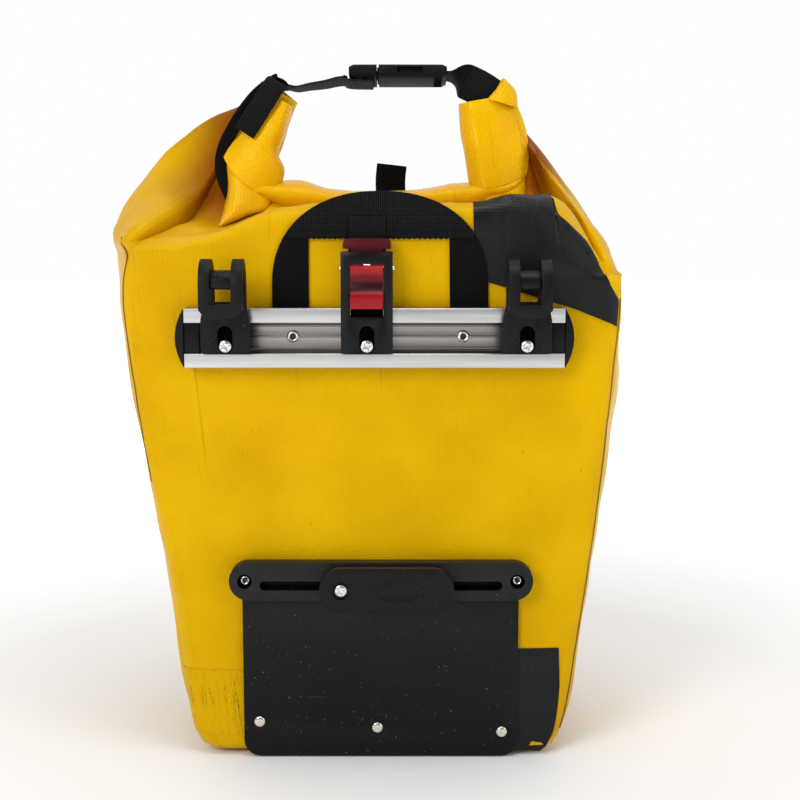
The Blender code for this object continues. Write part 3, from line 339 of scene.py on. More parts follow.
DIRT = (0.05, 0.03, 0.006)
GOLD = (1, 0.72, 0.12)
YELLOW = coated_fabric("yellow_pvc", (0.75, 0.44, 0), (0.68, 0.365, 0), DIRT, 0.36, 0.42, 0.3, GOLD)
GLOSSY_YELLOW = coated_fabric(
    "yellow_pvc_face", (0.80, 0.45, 0), (0.72, 0.36, 0), DIRT, 0.17, 0.12, 0.6, GOLD
)
BLACK_PVC = coated_fabric(
    "black_pvc", (0.004, 0.0045, 0.0055), (0.002, 0.002, 0.003), (0.03, 0.03, 0.03), 0.3, level=0.26
)
# Painted shadow: the dark orange-brown of the weld lines down the back corners.
SEAM_SHADOW = coated_fabric(
    "seam_shadow", (0.30, 0.15, 0.002), (0.14, 0.065, 0.001), (0.02, 0.012, 0.004), 0.6
)
WEBBING = webbing("black_webbing")
PLAIN_WEBBING = webbing("plain_webbing", 1.1 * MM, 0.022, 0.0004)
PLASTIC = moulded("black_nylon", (0.0025, 0.0025, 0.003), 0.4, dust=0.2)
SMOOTH_PLASTIC = moulded("smooth_black_nylon", (0.0022, 0.0022, 0.0026), 0.3, 900, 0.00005, 0.12)
BAR_PLASTIC = moulded("bar_nylon", (0.0065, 0.0065, 0.006), 0.42, 1100, 0.00008, 0.15, 0.24)
BUCKLE_PLASTIC = moulded("buckle_nylon", (0.0045, 0.0042, 0.004), 0.5, 900, 0.00005, 0.1, 0.08)
VOID = moulded("shadowed_recess", (0.0004, 0.0004, 0.0005), 0.8, level=0.02)
# Painted shade: the red lever's hollow is darkened halfway up it.
RED = with_painted_hollow_shade(moulded("red_nylon", (0.25, 0.008, 0.012), 0.3, 700, 0.00004), (0.035, 0.002, 0.004))
# Painted shade: a darker copy of the lever's red, for its top faces.
RED_PAINTED_SHADE = moulded("red_nylon_painted_shade", (0.055, 0.003, 0.006), 0.4, 700, 0.00004)
GLOSS = gloss_sheet("gloss_black_sheet")
ALUMINIUM = brushed("brushed_aluminium", (0.56, 0.56, 0.55), 0.24)
ZINC = plated("zinc_plate", (0.74, 0.76, 0.78), 0.22)
NICKEL = plated("nickel_plate", (0.80, 0.77, 0.68), 0.16)
RUST = moulded("rivet_bore", (0.05, 0.022, 0.012), 0.7)


# ================================================================ mesh helpers
SMOOTH_UNDER = 40


def link(name, bm, mat, smooth=SMOOTH_UNDER):
    bmesh.ops.recalc_face_normals(bm, faces=bm.faces)
    mesh = bpy.data.meshes.new(name)
    bm.to_mesh(mesh)
    bm.free()
    mesh.shade_smooth()
    mesh.set_sharp_from_angle(angle=math.radians(smooth))
    mesh.materials.append(mat)
    obj = bpy.data.objects.new(name, mesh)
    bpy.context.scene.collection.objects.link(obj)
    return obj


def finished(obj):
    """Applies obj's modifiers to its mesh."""
    bpy.context.view_layer.update()
    evaluated = obj.evaluated_get(bpy.context.evaluated_depsgraph_get())
    mesh = bpy.data.meshes.new_from_object(evaluated)
    obj.modifiers.clear()
    mesh.shade_smooth()
    mesh.set_sharp_from_angle(angle=math.radians(SMOOTH_UNDER))
    obj.data = mesh
    return obj


def bevelled(obj, width, segments=3):
    modifier = obj.modifiers.new("edges", "BEVEL")
    modifier.width = width
    modifier.segments = segments
    modifier.limit_method = "ANGLE"
    modifier.angle_limit = math.radians(32)
    return finished(obj)


def trimmed(obj, cutters):
    for cutter in cutters:
        modifier = obj.modifiers.new("cut", "BOOLEAN")
        modifier.operation = "DIFFERENCE"
        modifier.solver = "EXACT"
        modifier.object = cutter
    finished(obj)
    for cutter in cutters:
        bpy.data.objects.remove(cutter, do_unlink=True)
    return obj


def thickened(obj, thickness):
    modifier = obj.modifiers.new("thickness", "SOLIDIFY")
    modifier.thickness = thickness
    modifier.offset = -1.0
    modifier.use_even_offset = False
    return finished(obj)


def dress(obj, body="bag", nodes=()):
    """Hangs the piece on its body's empty, and hides the frame nodes that it stands for."""
    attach(obj, body)
    if nodes:
        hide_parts(*nodes)
    return obj


def spline(points, steps):
    """Catmull-Rom curve through the points, with this many steps between two of them."""
    padded = [points[0], *points, points[-1]]
    made = []
    for i in range(len(points) - 1):
        a, b, c, d = (Vector(p) for p in padded[i : i + 4])
        for k in range(steps):
            t = k / steps
            squared = (2 * a - 5 * b + 4 * c - d) * t * t
            cubed = (3 * b - a - 3 * c + d) * t ** 3
            made.append(0.5 * (2 * b + (c - a) * t + squared + cubed))
    made.append(Vector(points[-1]))
    return made


def at_share(path, share):
    place = max(0.0, min(1.0, share)) * (len(path) - 1)
    i = min(int(place), len(path) - 2)
    return path[i].lerp(path[i + 1], place - i)


def hermite(b, c, slope_b, slope_c, t):
    """Cubic from b to c with these slopes at its two ends."""
    t2, t3 = t * t, t * t * t
    start = (2 * t3 - 3 * t2 + 1) * b + (t3 - 2 * t2 + t) * slope_b
    return start + ((3 * t2 - 2 * t3) * c + (t3 - t2) * slope_c)


def flattened(value, power):
    """A sine or cosine that gives a squarer oval, with its sign kept."""
    return math.copysign(abs(value) ** power, value)


def in_mm(points):
    return [Vector(p) * MM for p in points]


def ease(t):
    t = max(0.0, min(1.0, t))
    return t * t * (3 - 2 * t)


def grid(name, rows, mat, uvs, closed=False, smooth=50, ends=False):
    """Quad sheet through rows of points, or a tube if closed, with its ends filled if asked.

    uvs holds a pair in metres for each point, and one more pair for each row of a tube.
    """
    bm = bmesh.new()
    made = [[bm.verts.new(p) for p in row] for row in rows]
    layer = bm.loops.layers.uv.new("cloth")
    width = len(rows[0])
    for r in range(len(rows) - 1):
        for c in range(width if closed else width - 1):
            d = (c + 1) % width
            face = bm.faces.new((made[r][c], made[r][d], made[r + 1][d], made[r + 1][c]))
            corners = ((r, c), (r, c + 1), (r + 1, c + 1), (r + 1, c))
            for loop, (i, j) in zip(face.loops, corners):
                loop[layer].uv = uvs[i][j]
    if ends:
        bm.faces.new(made[0])
        bm.faces.new(list(reversed(made[-1])))
    return link(name, bm, mat, smooth)


def ribbon(name, path, sides, width, thickness, mat):
    """Flat tape along a path, with rounded selvedges and a UV map in metres."""
    count = 8
    rings, marks = [], []
    run = 0.0
    for i, (point, side) in enumerate(zip(path, sides)):
        if i:
            run += (path[i] - path[i - 1]).length
        ahead = (path[min(i + 1, len(path) - 1)] - path[max(i - 1, 0)]).normalized()
        side = (side - ahead * side.dot(ahead)).normalized()
        up = ahead.cross(side).normalized()
        ring, row = [], []
        for face in (1, -1):
            for k in range(count + 1):
                share = face * (2 * k / count - 1)
                edge = (1 - abs(share) ** 8) ** 0.5 if abs(share) < 1 else 0.0
                lift = face * thickness / 2 * (0.25 + 0.75 * edge)
                ring.append(point + side * share * width / 2 + up * lift)
                row.append((run, share * width / 2))
        rings.append(ring)
        marks.append(row + row[:1])
    return grid(name, rings, mat, marks, closed=True, smooth=60, ends=True)


def tube(name, path, radius, mat, sides=8):
    bm = bmesh.new()
    layer = bm.loops.layers.uv.new("cloth")
    rings = []
    previous = Vector((0, 0, 1))
    for i, point in enumerate(path):
        ahead = (path[min(i + 1, len(path) - 1)] - path[max(i - 1, 0)]).normalized()
        first = previous - ahead * previous.dot(ahead)
        if abs(ahead.dot(previous)) > 0.95:
            first = ahead.orthogonal()
        first.normalize()
        second = ahead.cross(first)
        previous = first
        ring = []
        for k in range(sides):
            a = math.tau * k / sides
            ring.append(bm.verts.new(point + radius * (first * math.cos(a) + second * math.sin(a))))
        rings.append(ring)
    for r, (low, high) in enumerate(zip(rings, rings[1:])):
        for k in range(sides):
            face = bm.faces.new((low[k], low[(k + 1) % sides], high[(k + 1) % sides], high[k]))
            for loop in face.loops:
                loop[layer].uv = (r * MM, k * MM)
    bm.faces.new(rings[0])
    bm.faces.new(list(reversed(rings[-1])))
    return link(name, bm, mat, 60)


# ================================================================ bag body
BACK_Y = -75 * MM
# Height, half width at the back seam, side bulge, front face and sideways lean of the wall.
WALL_LEVELS = (
    (7, 124, 1, 66, 1.5),
    (16, 129, 2, 72, 1.5),
    (34, 133, 4, 76, 2),
    (80, 139, 7, 81, 2.5),
    (150, 149, 9, 85, 2.5),
    (252, 161, 13, 86, 1),
    (317, 167.5, 14, 82, 0),
    (352, 166, 15, 74, 0),
)
WALL_TOP_Z = 335 * MM
LEFT_WIDER = 4.5 * MM
RIGHT_FLATTER = 12.5 * MM
BASE_LENGTH = -0.2946
BASE_TURN = 5.5 * MM
BACK_CORNER_R = 9 * MM
FRONT_CORNER_R = 26 * MM
ROLL_LINE = (
    (-69, 463),
    (-82, 440),
    (-91, 415),
    (-84, 396),
    (-56, 389),
    (0, 386),
    (56, 389),
    (84, 396),
    (90, 415),
    (86.5, 440),
    (82.5, 461),
)
ROLL_Y = 6 * MM
ROLL_WIDTH = 40 * MM
ROLL_THICKNESS = 13 * MM
SQUARENESS = 0.8
TWIST_START = 0.34
TWIST_END = 0.62
RIM_HALF_GAP = 5 * MM
BUCKLE_TILT = math.radians(12)
BUCKLE_Y = 4
BUCKLE_Z = 474
RIM_LEFT = -0.8
RIM_RIGHT = 0.7
# Shoulder stations: place round the bag, then four points that the cloth passes on its way from
# the wall to the roll. 0 to 1 is the back from left to right, 1 to 2 the right side, 2 to 3 the
# front and 3 to 4 the left side.
SHOULDER = (
    (0.0, (-162, -73, 350), (-162, -69, 357), (-147, -44, 363), (-126, -3, 381)),
    (0.02, (-158, -75, 350), (-157, -72, 357.5), (-144, -47, 365), (-122, -4, 382)),
    (0.075, (-135, -75, 349), (-135, -72.5, 357.5), (-130, -47, 366), (-116, -8, 382)),
    (0.125, (-119, -75, 350), (-118.5, -72.5, 361), (-116, -47, 366), (-111, -14, 375)),
    (0.18, (-101, -75, 353), (-101, -72.5, 366.5), (-101, -48, 367), (-103, -18, 374)),
    (0.25, (-80, -75, 356), (-80, -72.5, 375), (-80, -48, 374), (-82, -20, 375)),
    (0.31, (-60, -75, 358), (-60, -72.5, 379), (-61, -46, 381), (-63, -18, 378)),
    (0.5, (0, -75, 360), (0, -72.5, 382.5), (0, -46, 384), (0, -18, 378)),
    (0.69, (60, -75, 358), (60, -73, 381), (61, -48, 384), (62, -18, 379)),
    (0.82, (96, -75, 356), (95, -70, 384), (95, -48, 388), (97, -18, 378)),
    (0.915, (126, -75, 350), (124, -66, 376), (121, -49, 389), (111, -20, 381)),
    (0.97, (149, -72, 339), (146, -61, 356), (133, -42, 379), (118, -14, 382)),
    (1.0, (157, -67, 337), (151, -55, 350), (137, -31, 371), (121, -4, 392)),
    (1.02, (162, -65, 337), (157, -59, 349), (143, -42, 374), (125, -24, 400)),
    (1.12, (166, -58, 337), (161, -48, 350), (148, -31, 375), (127, -8, 403)),
    (1.3, (168, -42, 338), (163, -32, 350), (151, -15, 376), (128, 4, 406)),
    (1.55, (169, -2, 341), (163, 2, 353), (149, 11, 378), (126, 16, 410)),
    (1.75, (168, 36, 345), (162, 34, 357), (147, 27, 383), (121, 22, 411)),
    (1.93, (152, 62, 350), (148, 58, 366), (136, 46, 388), (116, 28, 404)),
    (2.18, (100, 75, 354), (100, 70, 374), (100, 54, 388), (100, 28, 392)),
    (2.35, (60, 76, 354), (60, 72, 372), (61, 54, 382), (62, 28, 382)),
    (2.5, (0, 77, 354), (0, 73, 371), (0, 54, 380), (0, 28, 379)),
    (2.65, (-60, 76, 354), (-60, 72, 372), (-61, 54, 382), (-62, 28, 381)),
    (2.82, (-100, 75, 354), (-100, 70, 374), (-101, 54, 388), (-105, 28, 396)),
    (3.07, (-154, 60, 352), (-152, 56, 370), (-142, 46, 392), (-122, 30, 418)),
    (3.25, (-176, 34, 352), (-177, 33, 368), (-165, 31, 396), (-134, 27, 434)),
    (3.45, (-181, 4, 352), (-183.5, 11, 370), (-168, 18, 402), (-134, 20, 437)),
    (3.7, (-179, -36, 350), (-183, -24, 367), (-170, -2, 395), (-143, 17, 424)),
    (3.88, (-170, -64, 350), (-174, -56, 363), (-164, -34, 384), (-140, 10, 409)),
    (3.95, (-166, -70, 350), (-169.5, -66, 361), (-156, -52, 376), (-130, 0, 400)),
    (3.985, (-164, -72, 350), (-167, -70, 358.5), (-150, -55, 370), (-126, -6, 391)),
)


def wall_numbers(z):
    """Half width, side bulge, front face and lean of the wall at a height, in metres."""
    levels = WALL_LEVELS
    z = max(levels[0][0], min(levels[-1][0], z / MM))
    for i in range(len(levels) - 1):
        if z <= levels[i + 1][0]:
            break
    t = (z - levels[i][0]) / (levels[i + 1][0] - levels[i][0])
    made = []
    for k in range(1, 5):
        b, c = levels[i][k], levels[i + 1][k]
        run = levels[i + 1][0] - levels[i][0]
        before, after = levels[max(i - 1, 0)], levels[min(i + 2, len(levels) - 1)]
        slope_b = (c - before[k]) / max(levels[i + 1][0] - before[0], 1) * run
        slope_c = (after[k] - b) / max(after[0] - levels[i][0], 1) * run
        made.append(hermite(b, c, slope_b, slope_c, t) * MM)
    return made


def wall_point(around, z):
    """Point on the wall at a place round the bag from 0 to 4."""
    half, bulge, front, lean = wall_numbers(z)
    depth = front - BACK_Y
    front_half = half - 3 * MM
    group, share = int(around) % 4, around - int(around)
    if group == 0:
        return Vector((lean + (half - BACK_CORNER_R) * (2 * share - 1), BACK_Y, z))
    if group == 2:
        across = 1 - 2 * share
        crown = 0.05 * depth * (1 - across * across)
        return Vector((lean + (front_half - FRONT_CORNER_R) * across, front + crown, z))
    sign = 1 if group == 1 else -1
    if group == 3:
        share = 1 - share
    side_start, side_end = BACK_Y + BACK_CORNER_R, front - FRONT_CORNER_R
    if sign < 0:
        half += LEFT_WIDER * ease((z / MM - 130) / 100) * (1 - share)
    else:
        bulge -= RIGHT_FLATTER * ease((z / MM - 240) / 95)
    if share < 0.12:
        turn = math.pi / 2 * (share / 0.12 - 1)
        x = half - BACK_CORNER_R + BACK_CORNER_R * math.cos(turn)
        y = side_start + BACK_CORNER_R * math.sin(turn)
    elif share < 0.8:
        along = (share - 0.12) / 0.68
        y = side_start + (side_end - side_start) * along
        x = half + (front_half - half) * along + bulge * math.sin(math.pi * along)
    else:
        turn = math.pi / 2 * (share - 0.8) / 0.2
        x = front_half - FRONT_CORNER_R + FRONT_CORNER_R * math.cos(turn)
        y = side_end + FRONT_CORNER_R * math.sin(turn)
    return Vector((sign * x + lean, y, z))


def roll_path():
    return spline([Vector((x * MM, ROLL_Y, z * MM)) for x, z in ROLL_LINE], 6)


ROLL_PATH = roll_path()


def twist_at(along):
    """Quarter turn of the roll, in radians, at a share from -1 to 1 along it."""
    return math.pi / 2 * ease((abs(along) - TWIST_START) / (TWIST_END - TWIST_START))


def roll_frame(along):
    """Point on the roll's line, its direction, and the outward normal in the XZ plane."""
    share = 0.5 + 0.5 * along
    ahead = (at_share(ROLL_PATH, share + 0.03) - at_share(ROLL_PATH, share - 0.03)).normalized()
    return at_share(ROLL_PATH, share), ahead, Vector((ahead.z, 0, -ahead.x)).normalized()


def rim_point(around):
    """Where the cloth at this place round the bag enters the roll."""
    group, share = int(around) % 4, around - int(around)
    if group == 0:
        along, across = RIM_LEFT + (RIM_RIGHT - RIM_LEFT) * share, -1
    elif group == 2:
        along, across = RIM_RIGHT + (RIM_LEFT - RIM_RIGHT) * share, 1
    elif group == 1:
        along, across = RIM_RIGHT + 0.08 * math.sin(math.pi * share), -math.cos(math.pi * share)
    else:
        along, across = RIM_LEFT - 0.07 * math.sin(math.pi * share), math.cos(math.pi * share)
    point, _, outward = roll_frame(along)
    twist = twist_at(along)
    reach = ROLL_WIDTH / 2 * math.sin(twist) + ROLL_THICKNESS / 2 * math.cos(twist) - 3 * MM
    behind = 8 * MM * ease((abs(along) - 0.5) / 0.2)
    return point + outward * reach + Vector((0, across * RIM_HALF_GAP + behind, 0))


def shoulder_points(around):
    """The four points of the shoulder at a place round the bag, from the stations beside it."""
    around = around % 4
    count = len(SHOULDER)
    places = [station[0] for station in SHOULDER]
    i = max(k for k in range(count) if places[k] <= around + 1e-9)
    nearby = [(i + d) % count for d in (-1, 0, 1, 2)]
    start = places[i]
    end = places[(i + 1) % count] + (4 if i == count - 1 else 0)
    t = (around - start) / (end - start)
    made = []
    for k in range(1, 5):
        a, b, c, d = (Vector(SHOULDER[n][k]) for n in nearby)
        made.append(hermite(b, c, (c - a) / 2, (d - b) / 2, t) * MM)
    return made


def column(around):
    """The cloth's line from the base edge up to the roll, every few millimetres."""
    low = [wall_point(around, z * MM) for z in (7, 9, 12, 16, 21, 27)]
    low += [wall_point(around, (34 + 7.5 * k) * MM) for k in range(39)]
    top = [low[-1], wall_point(around, WALL_TOP_Z), *shoulder_points(around), rim_point(around)]
    return low[:-1] + spline(top, 7)


def places_round():
    """Columns round the bag, closest together at the creases of its two back corners."""
    near = [0.0, 0.005, 0.01, 0.015, 0.02, 0.028, 0.038, 0.05]
    made = near + [0.062 + 0.876 * k / 56 for k in range(57)]
    made += [1 - n for n in reversed(near[1:])] + [1 + n for n in near]
    made += [1.07 + 0.93 * k / 42 for k in range(42)] + [2 + k / 56 for k in range(56)]
    made += [3 + 0.935 * k / 42 for k in range(43)] + [4 - n for n in reversed(near[1:])]
    return made


def hardware_mask(point):
    """0 where fittings lie on the back panel, 1 where its cloth is free to wrinkle."""
    if point.y > -60 * MM:
        return 1.0
    x, z = abs(point.x / MM), point.z / MM
    rail = ease((abs(z - 296) - 22) / 14) if x < 150 else ease((x - 150) / 12)
    bar = ease((abs(z - 128) - 15) / 10) if x < 122 else ease((x - 122) / 10)
    plate = max(ease((z - 120) / 12), ease((x - 100) / 14))
    handle = max(ease((x - 74) / 10), ease((300 - z) / 6), ease((z - 392) / 8))
    return min(rail, bar, plate, handle)


# Creases pressed into the shoulders: their two ends, depth and half width in mm.
CREASES = (
    ((-147, 4, 420), (-133, -26, 393), 3.5, 6),
    ((-178, -20, 376), (-160, -22, 392), 2.0, 5),
    ((-172, -50, 352), (-178, -10, 348), 1.5, 4),
    ((-96, -70, 362), (-60, -40, 384), 1.6, 6),
    ((-70, -28, 382), (-36, -34, 387), 3.0, 6),
    ((30, -30, 384), (70, -26, 385), 2.4, 6),
    ((150, -20, 372), (118, 2, 416), 2.4, 6),
    ((166, -10, 352), (140, 10, 392), 1.8, 6),
    ((-120, 62, 378), (-70, 60, 366), 3.0, 8),
    ((20, 70, 372), (96, 62, 380), 2.6, 7),
    ((-150, 52, 372), (-168, 20, 350), 2.2, 7),
    ((-40, 84, 330), (70, 84, 318), 1.6, 9),
)


def pressed(p):
    """Depth in mm that the creases reach at a point in mm."""
    depth = 0.0
    for start, end, deep, wide in CREASES:
        away = near_line(p, Vector(start), Vector(end))
        if away < 3 * wide:
            depth += deep * math.exp(-((away / wide) ** 2))
    return depth


def cloth_lift(point):
    """How far the cloth stands off its smooth shape, in metres."""
    p = point / MM
    wide = noise.noise(Vector((p.x / 55, p.y / 45, p.z / 38))) * 2.2
    fine = noise.noise(Vector((p.x / 16, p.y / 14, p.z / 22 + 7))) * 0.45
    if p.y < -68:
        # Soft dents that run across the back panel below its middle.
        lying = noise.noise(Vector((p.x / 95, 3.0, p.z / 15)))
        dents = lying * 1.5 * ease((p.z - 150) / 40) * ease((262 - p.z) / 30)
        lift = wide * 0.35 + fine * 0.35 + dents
        corner = ease((160 - abs(p.x)) / 12) if p.z > 340 else 1.0
        return min(lift, 0.15 + 1.2 * hardware_mask(point)) * hardware_mask(point) * corner * MM
    buckled = noise.noise(Vector((p.x / 80, p.y / 34, p.z / 60 + 3))) * 3.0
    wall = (wide + fine + buckled) * ease((p.z - 10) / 30)
    folds = (0.5 - abs(noise.noise(Vector((p.x / 30, p.y / 22, p.z / 36 + 20))))) * 2.4
    shoulder = wide * 0.5 + fine * 1.3 + folds - pressed(p)
    return (wall + (shoulder - wall) * ease((p.z - 335) / 20)) * MM


LINES = {}


def body_line(around):
    """The cloth's smooth line, and the lengths along it from a height of 300 mm."""
    key = round(around % 4, 5)
    if key in LINES:
        return LINES[key]
    points = column(around)
    lengths = [0.0]
    for a, b in zip(points, points[1:]):
        lengths.append(lengths[-1] + (b - a).length)
    zero = next(s for p, s in zip(points, lengths) if p.z >= 300 * MM)
    LINES[key] = points, [s - zero for s in lengths]
    return LINES[key]


def outward_at(lines, c, r):
    """Normal of the smooth body at column c and row r."""
    count = len(lines)
    line = lines[c]
    across = lines[(c + 1) % count][r] - lines[c - 1][r]
    up = line[min(r + 1, len(line) - 1)] - line[max(r - 1, 0)]
    return across.cross(up).normalized()


def surface(around, length, lift):
    """Point on the wrinkled body at a place round it and a length above 300 mm, lifted off it."""
    step = 0.004
    if length < BASE_LENGTH:
        # Below the wall the line turns in under the base.
        edge = wall_point(around, 7 * MM)
        under = min(1.0, (BASE_LENGTH - length) / BASE_TURN)
        first, second = min(1.0, under / 0.55), max(0.0, under - 0.55) / 0.45
        kept = 1.008 - 0.04 * first - 0.1 * second
        return Vector((edge.x * kept, edge.y * kept, (6.7 - 5.3 * first - 1.1 * second) * MM))
    here, lengths = body_line(around)
    left, right = body_line(around - step)[0], body_line(around + step)[0]
    i = max(k for k in range(len(here) - 1) if lengths[k] <= length or k == 0)
    t = (length - lengths[i]) / max(lengths[i + 1] - lengths[i], 1e-9)
    point = here[i].lerp(here[i + 1], t)
    across = right[i].lerp(right[i + 1], t) - left[i].lerp(left[i + 1], t)
    up = here[i + 1] - here[i]
    normal = across.cross(up).normalized()
    return point + normal * (cloth_lift(point) + lift)


def painted(obj, wear, shade=0.0):
    """Stores the cloth's scuffing and its painted shade: two numbers, or rules for a point in mm.
    """
    for name, rule in (("wear", wear), ("shade", shade)):
        layer = obj.data.attributes.new(name, "FLOAT", "POINT")
        for i, vertex in enumerate(obj.data.vertices):
            layer.data[i].value = rule(vertex.co / MM) if callable(rule) else rule


def body_wear(p):
    low = ease((62 - p.z) / 30) * 0.75
    corner = ease((abs(p.x) - 88) / 25) * low
    edge = 0.25 * ease((abs(p.x) - 150) / 12) * ease((p.z - 200) / 60)
    handle = 0.35 * ease(1 - abs(p.x - 38) / 16) * ease(1 - abs(p.z - 345) / 22)
    return max(corner, edge, handle, 0.3 * low if p.y < -60 else 0.1)


def near_line(p, start, end):
    """Distance in mm from a point to the line between two others."""
    line = end - start
    share = max(0.0, min(1.0, (p - start).dot(line) / line.length_squared))
    return (p - start - line * share).length


def body_shade(p):
    """Painted shade in the two deep folds beside the horns."""
    left = near_line(p, Vector((-96, 8, 450)), Vector((-112, 0, 392))) if p.x < -80 else 99
    right = near_line(p, Vector((112, 4, 428)), Vector((112, 0, 392))) if p.x > 80 else 99
    return max(ease(1.15 - left / 46), ease(1.15 - right / 30))


def bag_body():
    places = places_round()
    lines = [column(place) for place in places]
    rows = len(lines[0])
    rings = []
    for r in range(rows):
        ring = []
        for c in range(len(places)):
            point = lines[c][r]
            ring.append(point + outward_at(lines, c, r) * cloth_lift(point))
        rings.append(ring)
    edge = rings[0]
    centre = sum(edge, Vector()) / len(edge)
    floor_rings = []
    for share, height in ((0.1, 0.0), (0.45, 0.0), (0.7, 0.15), (0.85, 1.0), (0.95, 3.2)):
        drawn = [centre.lerp(p, share) for p in edge]
        floor_rings.append([Vector((p.x, p.y, height * MM)) for p in drawn])
    rings = floor_rings + rings
    run = [0.0]
    middle = [line[30] for line in lines]
    for a, b in zip(middle, middle[1:] + middle[:1]):
        run.append(run[-1] + (b - a).length)
    uvs = []
    height = [0.0] * (len(places) + 1)
    for r, ring in enumerate(rings):
        row = []
        for c in range(len(places) + 1):
            d = c % len(places)
            if r:
                height[c] += (ring[d] - rings[r - 1][d]).length
            row.append((run[c], height[c]))
        uvs.append(row)
    body = grid("bag_body", rings, YELLOW, uvs, closed=True, smooth=75)
    thickened(body, 0.9 * MM)
    painted(body, body_wear, body_shade)
    nodes = ["base_panel", "back_panel", "side_panel_left", "side_panel_right", "front_panel"]
    dress(body, "bag", nodes + ["shoulder_back", "shoulder_front"])


def patch(name, start, end, low, high, mat, nodes=(), lift=0.55 * MM, across=40, up=30,
          wear=0.3, slant=0.0):
    """Welded patch that follows the body between two lengths in mm, or functions of a share."""
    rows, uvs = [], []
    for r in range(up + 1):
        row, marks = [], []
        for c in range(across + 1):
            s = c / across
            around = start + (end - start) * s + slant * s * (1 - r / up)
            first, last = (edge(s) if callable(edge) else edge for edge in (low, high))
            length = (first + (last - first) * r / up) * MM
            row.append(surface(around % 4, length, lift))
            marks.append((around * 0.3, length))
        rows.append(row)
        uvs.append(marks)
    made = grid(name, rows, mat, uvs, smooth=60)
    thickened(made, 0.5 * MM)
    painted(made, wear)
    dress(made, "bag", nodes)


def steps_between(*stops):
    """Function of a share that runs straight between (share, value) stops."""
    def value(s):
        for (a, low), (b, high) in zip(stops, stops[1:]):
            if s <= b:
                return low + (high - low) * (s - a) / max(b - a, 1e-9)
        return stops[-1][1]
    return value


def patches():
    low = steps_between((0, 31), (0.1, 28), (0.64, 10), (0.85, 1), (1, -2))
    stops = [(0, 108), (0.35, 116), (0.565, 112), (0.59, 76), (0.72, 58), (0.86, 26), (1, 16)]
    patch("top_patch", 0.708, 1.05, low, steps_between(*stops), BLACK_PVC,
          ["patch_top"], 0.9 * MM, 100, 40)
    low = steps_between((0, -299.6), (0.7, -299.4), (1, -297.5))
    patch("bottom_patch_right", 0.80, 0.982, low, -227.5, BLACK_PVC,
          ["patch_bottom_right"], slant=0.045)
    patch("bottom_patch_left", 3.9, 4.2, -291, -244, YELLOW, wear=1.0)


def seams():
    """Weld lines down both back corners: thin beads coloured dark as painted shadow."""
    for name, around, low, top in (("left", 3.93, -110, 62), ("right", 1.07, -288, 20)):
        path = [surface(around, length * MM, 0.1 * MM) for length in range(low, top, 5)]
        made = tube(f"seam_{name}", path, 0.55 * MM, SEAM_SHADOW, 6)
        painted(made, 0.6)
        dress(made)


# ================================================================ rolled mouth
def rolled_mouth():
    """The flattened mouth, rolled down: its section ends in a lap, like a rolled sheet."""
    steps, count = 150, 36
    rows, uvs = [], []
    for i in range(steps + 1):
        along = 2 * i / steps - 1
        point, ahead, outward = roll_frame(along)
        twist = twist_at(along)
        side = Vector((0, 1, 0)) * math.cos(twist) - outward * math.sin(twist)
        thick = ahead.cross(side).normalized()
        tip = 1 - 0.25 * ease((abs(along) - 0.72) / 0.28)
        row, marks = [], []
        for k in range(count + 1):
            angle = math.tau * k / count
            lap = 1.0 + 0.16 * (1 - k / count)
            a = flattened(math.cos(angle), SQUARENESS) * ROLL_WIDTH / 2 * tip
            b = flattened(math.sin(angle), SQUARENESS) * ROLL_THICKNESS / 2 * lap * 0.92
            heap = 5 * math.exp(-(((point.x / MM + 56) / 15) ** 2))
            heap += 2.5 * math.exp(-(((point.x / MM - 56) / 14) ** 2))
            b += math.copysign(heap * MM, b) * math.sin(angle) ** 2
            place = point + side * a + thick * b
            crumple = noise.noise(place / (17 * MM)) * 1.4 + noise.noise(place / (7 * MM)) * 0.4
            row.append(place + thick * math.copysign(crumple * MM, math.sin(angle + 0.01)))
            marks.append((along * 0.22, k * 0.003))
        rows.append(row)
        uvs.append(marks)
    roll = grid("rolled_mouth", rows, GLOSSY_YELLOW, uvs, smooth=60)
    thickened(roll, 0.7 * MM)
    painted(roll, 0.15)
    dress(roll, "bag", ["rolled_collar"])
    for name, along in (("left", -1), ("right", 1)):
        end_lap(name, along)


def end_lap(name, along):
    """Flat folded end that closes a tip of the roll."""
    point, ahead, outward = roll_frame(along)
    away = ahead if along > 0 else -ahead
    rows, uvs = [], []
    for r in range(5):
        inset = 1 - 0.24 * r
        row, marks = [], []
        for k in range(33):
            angle = math.tau * k / 32
            a = flattened(math.cos(angle), SQUARENESS) * ROLL_WIDTH / 2 * 0.74 * inset
            b = flattened(math.sin(angle), SQUARENESS) * ROLL_THICKNESS / 2 * inset
            row.append(point - outward * a + Vector((0, 1, 0)) * b + away * (1 - inset) * 2.2 * MM)
            marks.append((k * MM, r * MM))
        rows.append(row)
        uvs.append(marks)
    made = grid(f"roll_end_{name}", rows, GLOSSY_YELLOW, uvs)
    thickened(made, 0.6 * MM)
    painted(made, 0.1)
    dress(made)


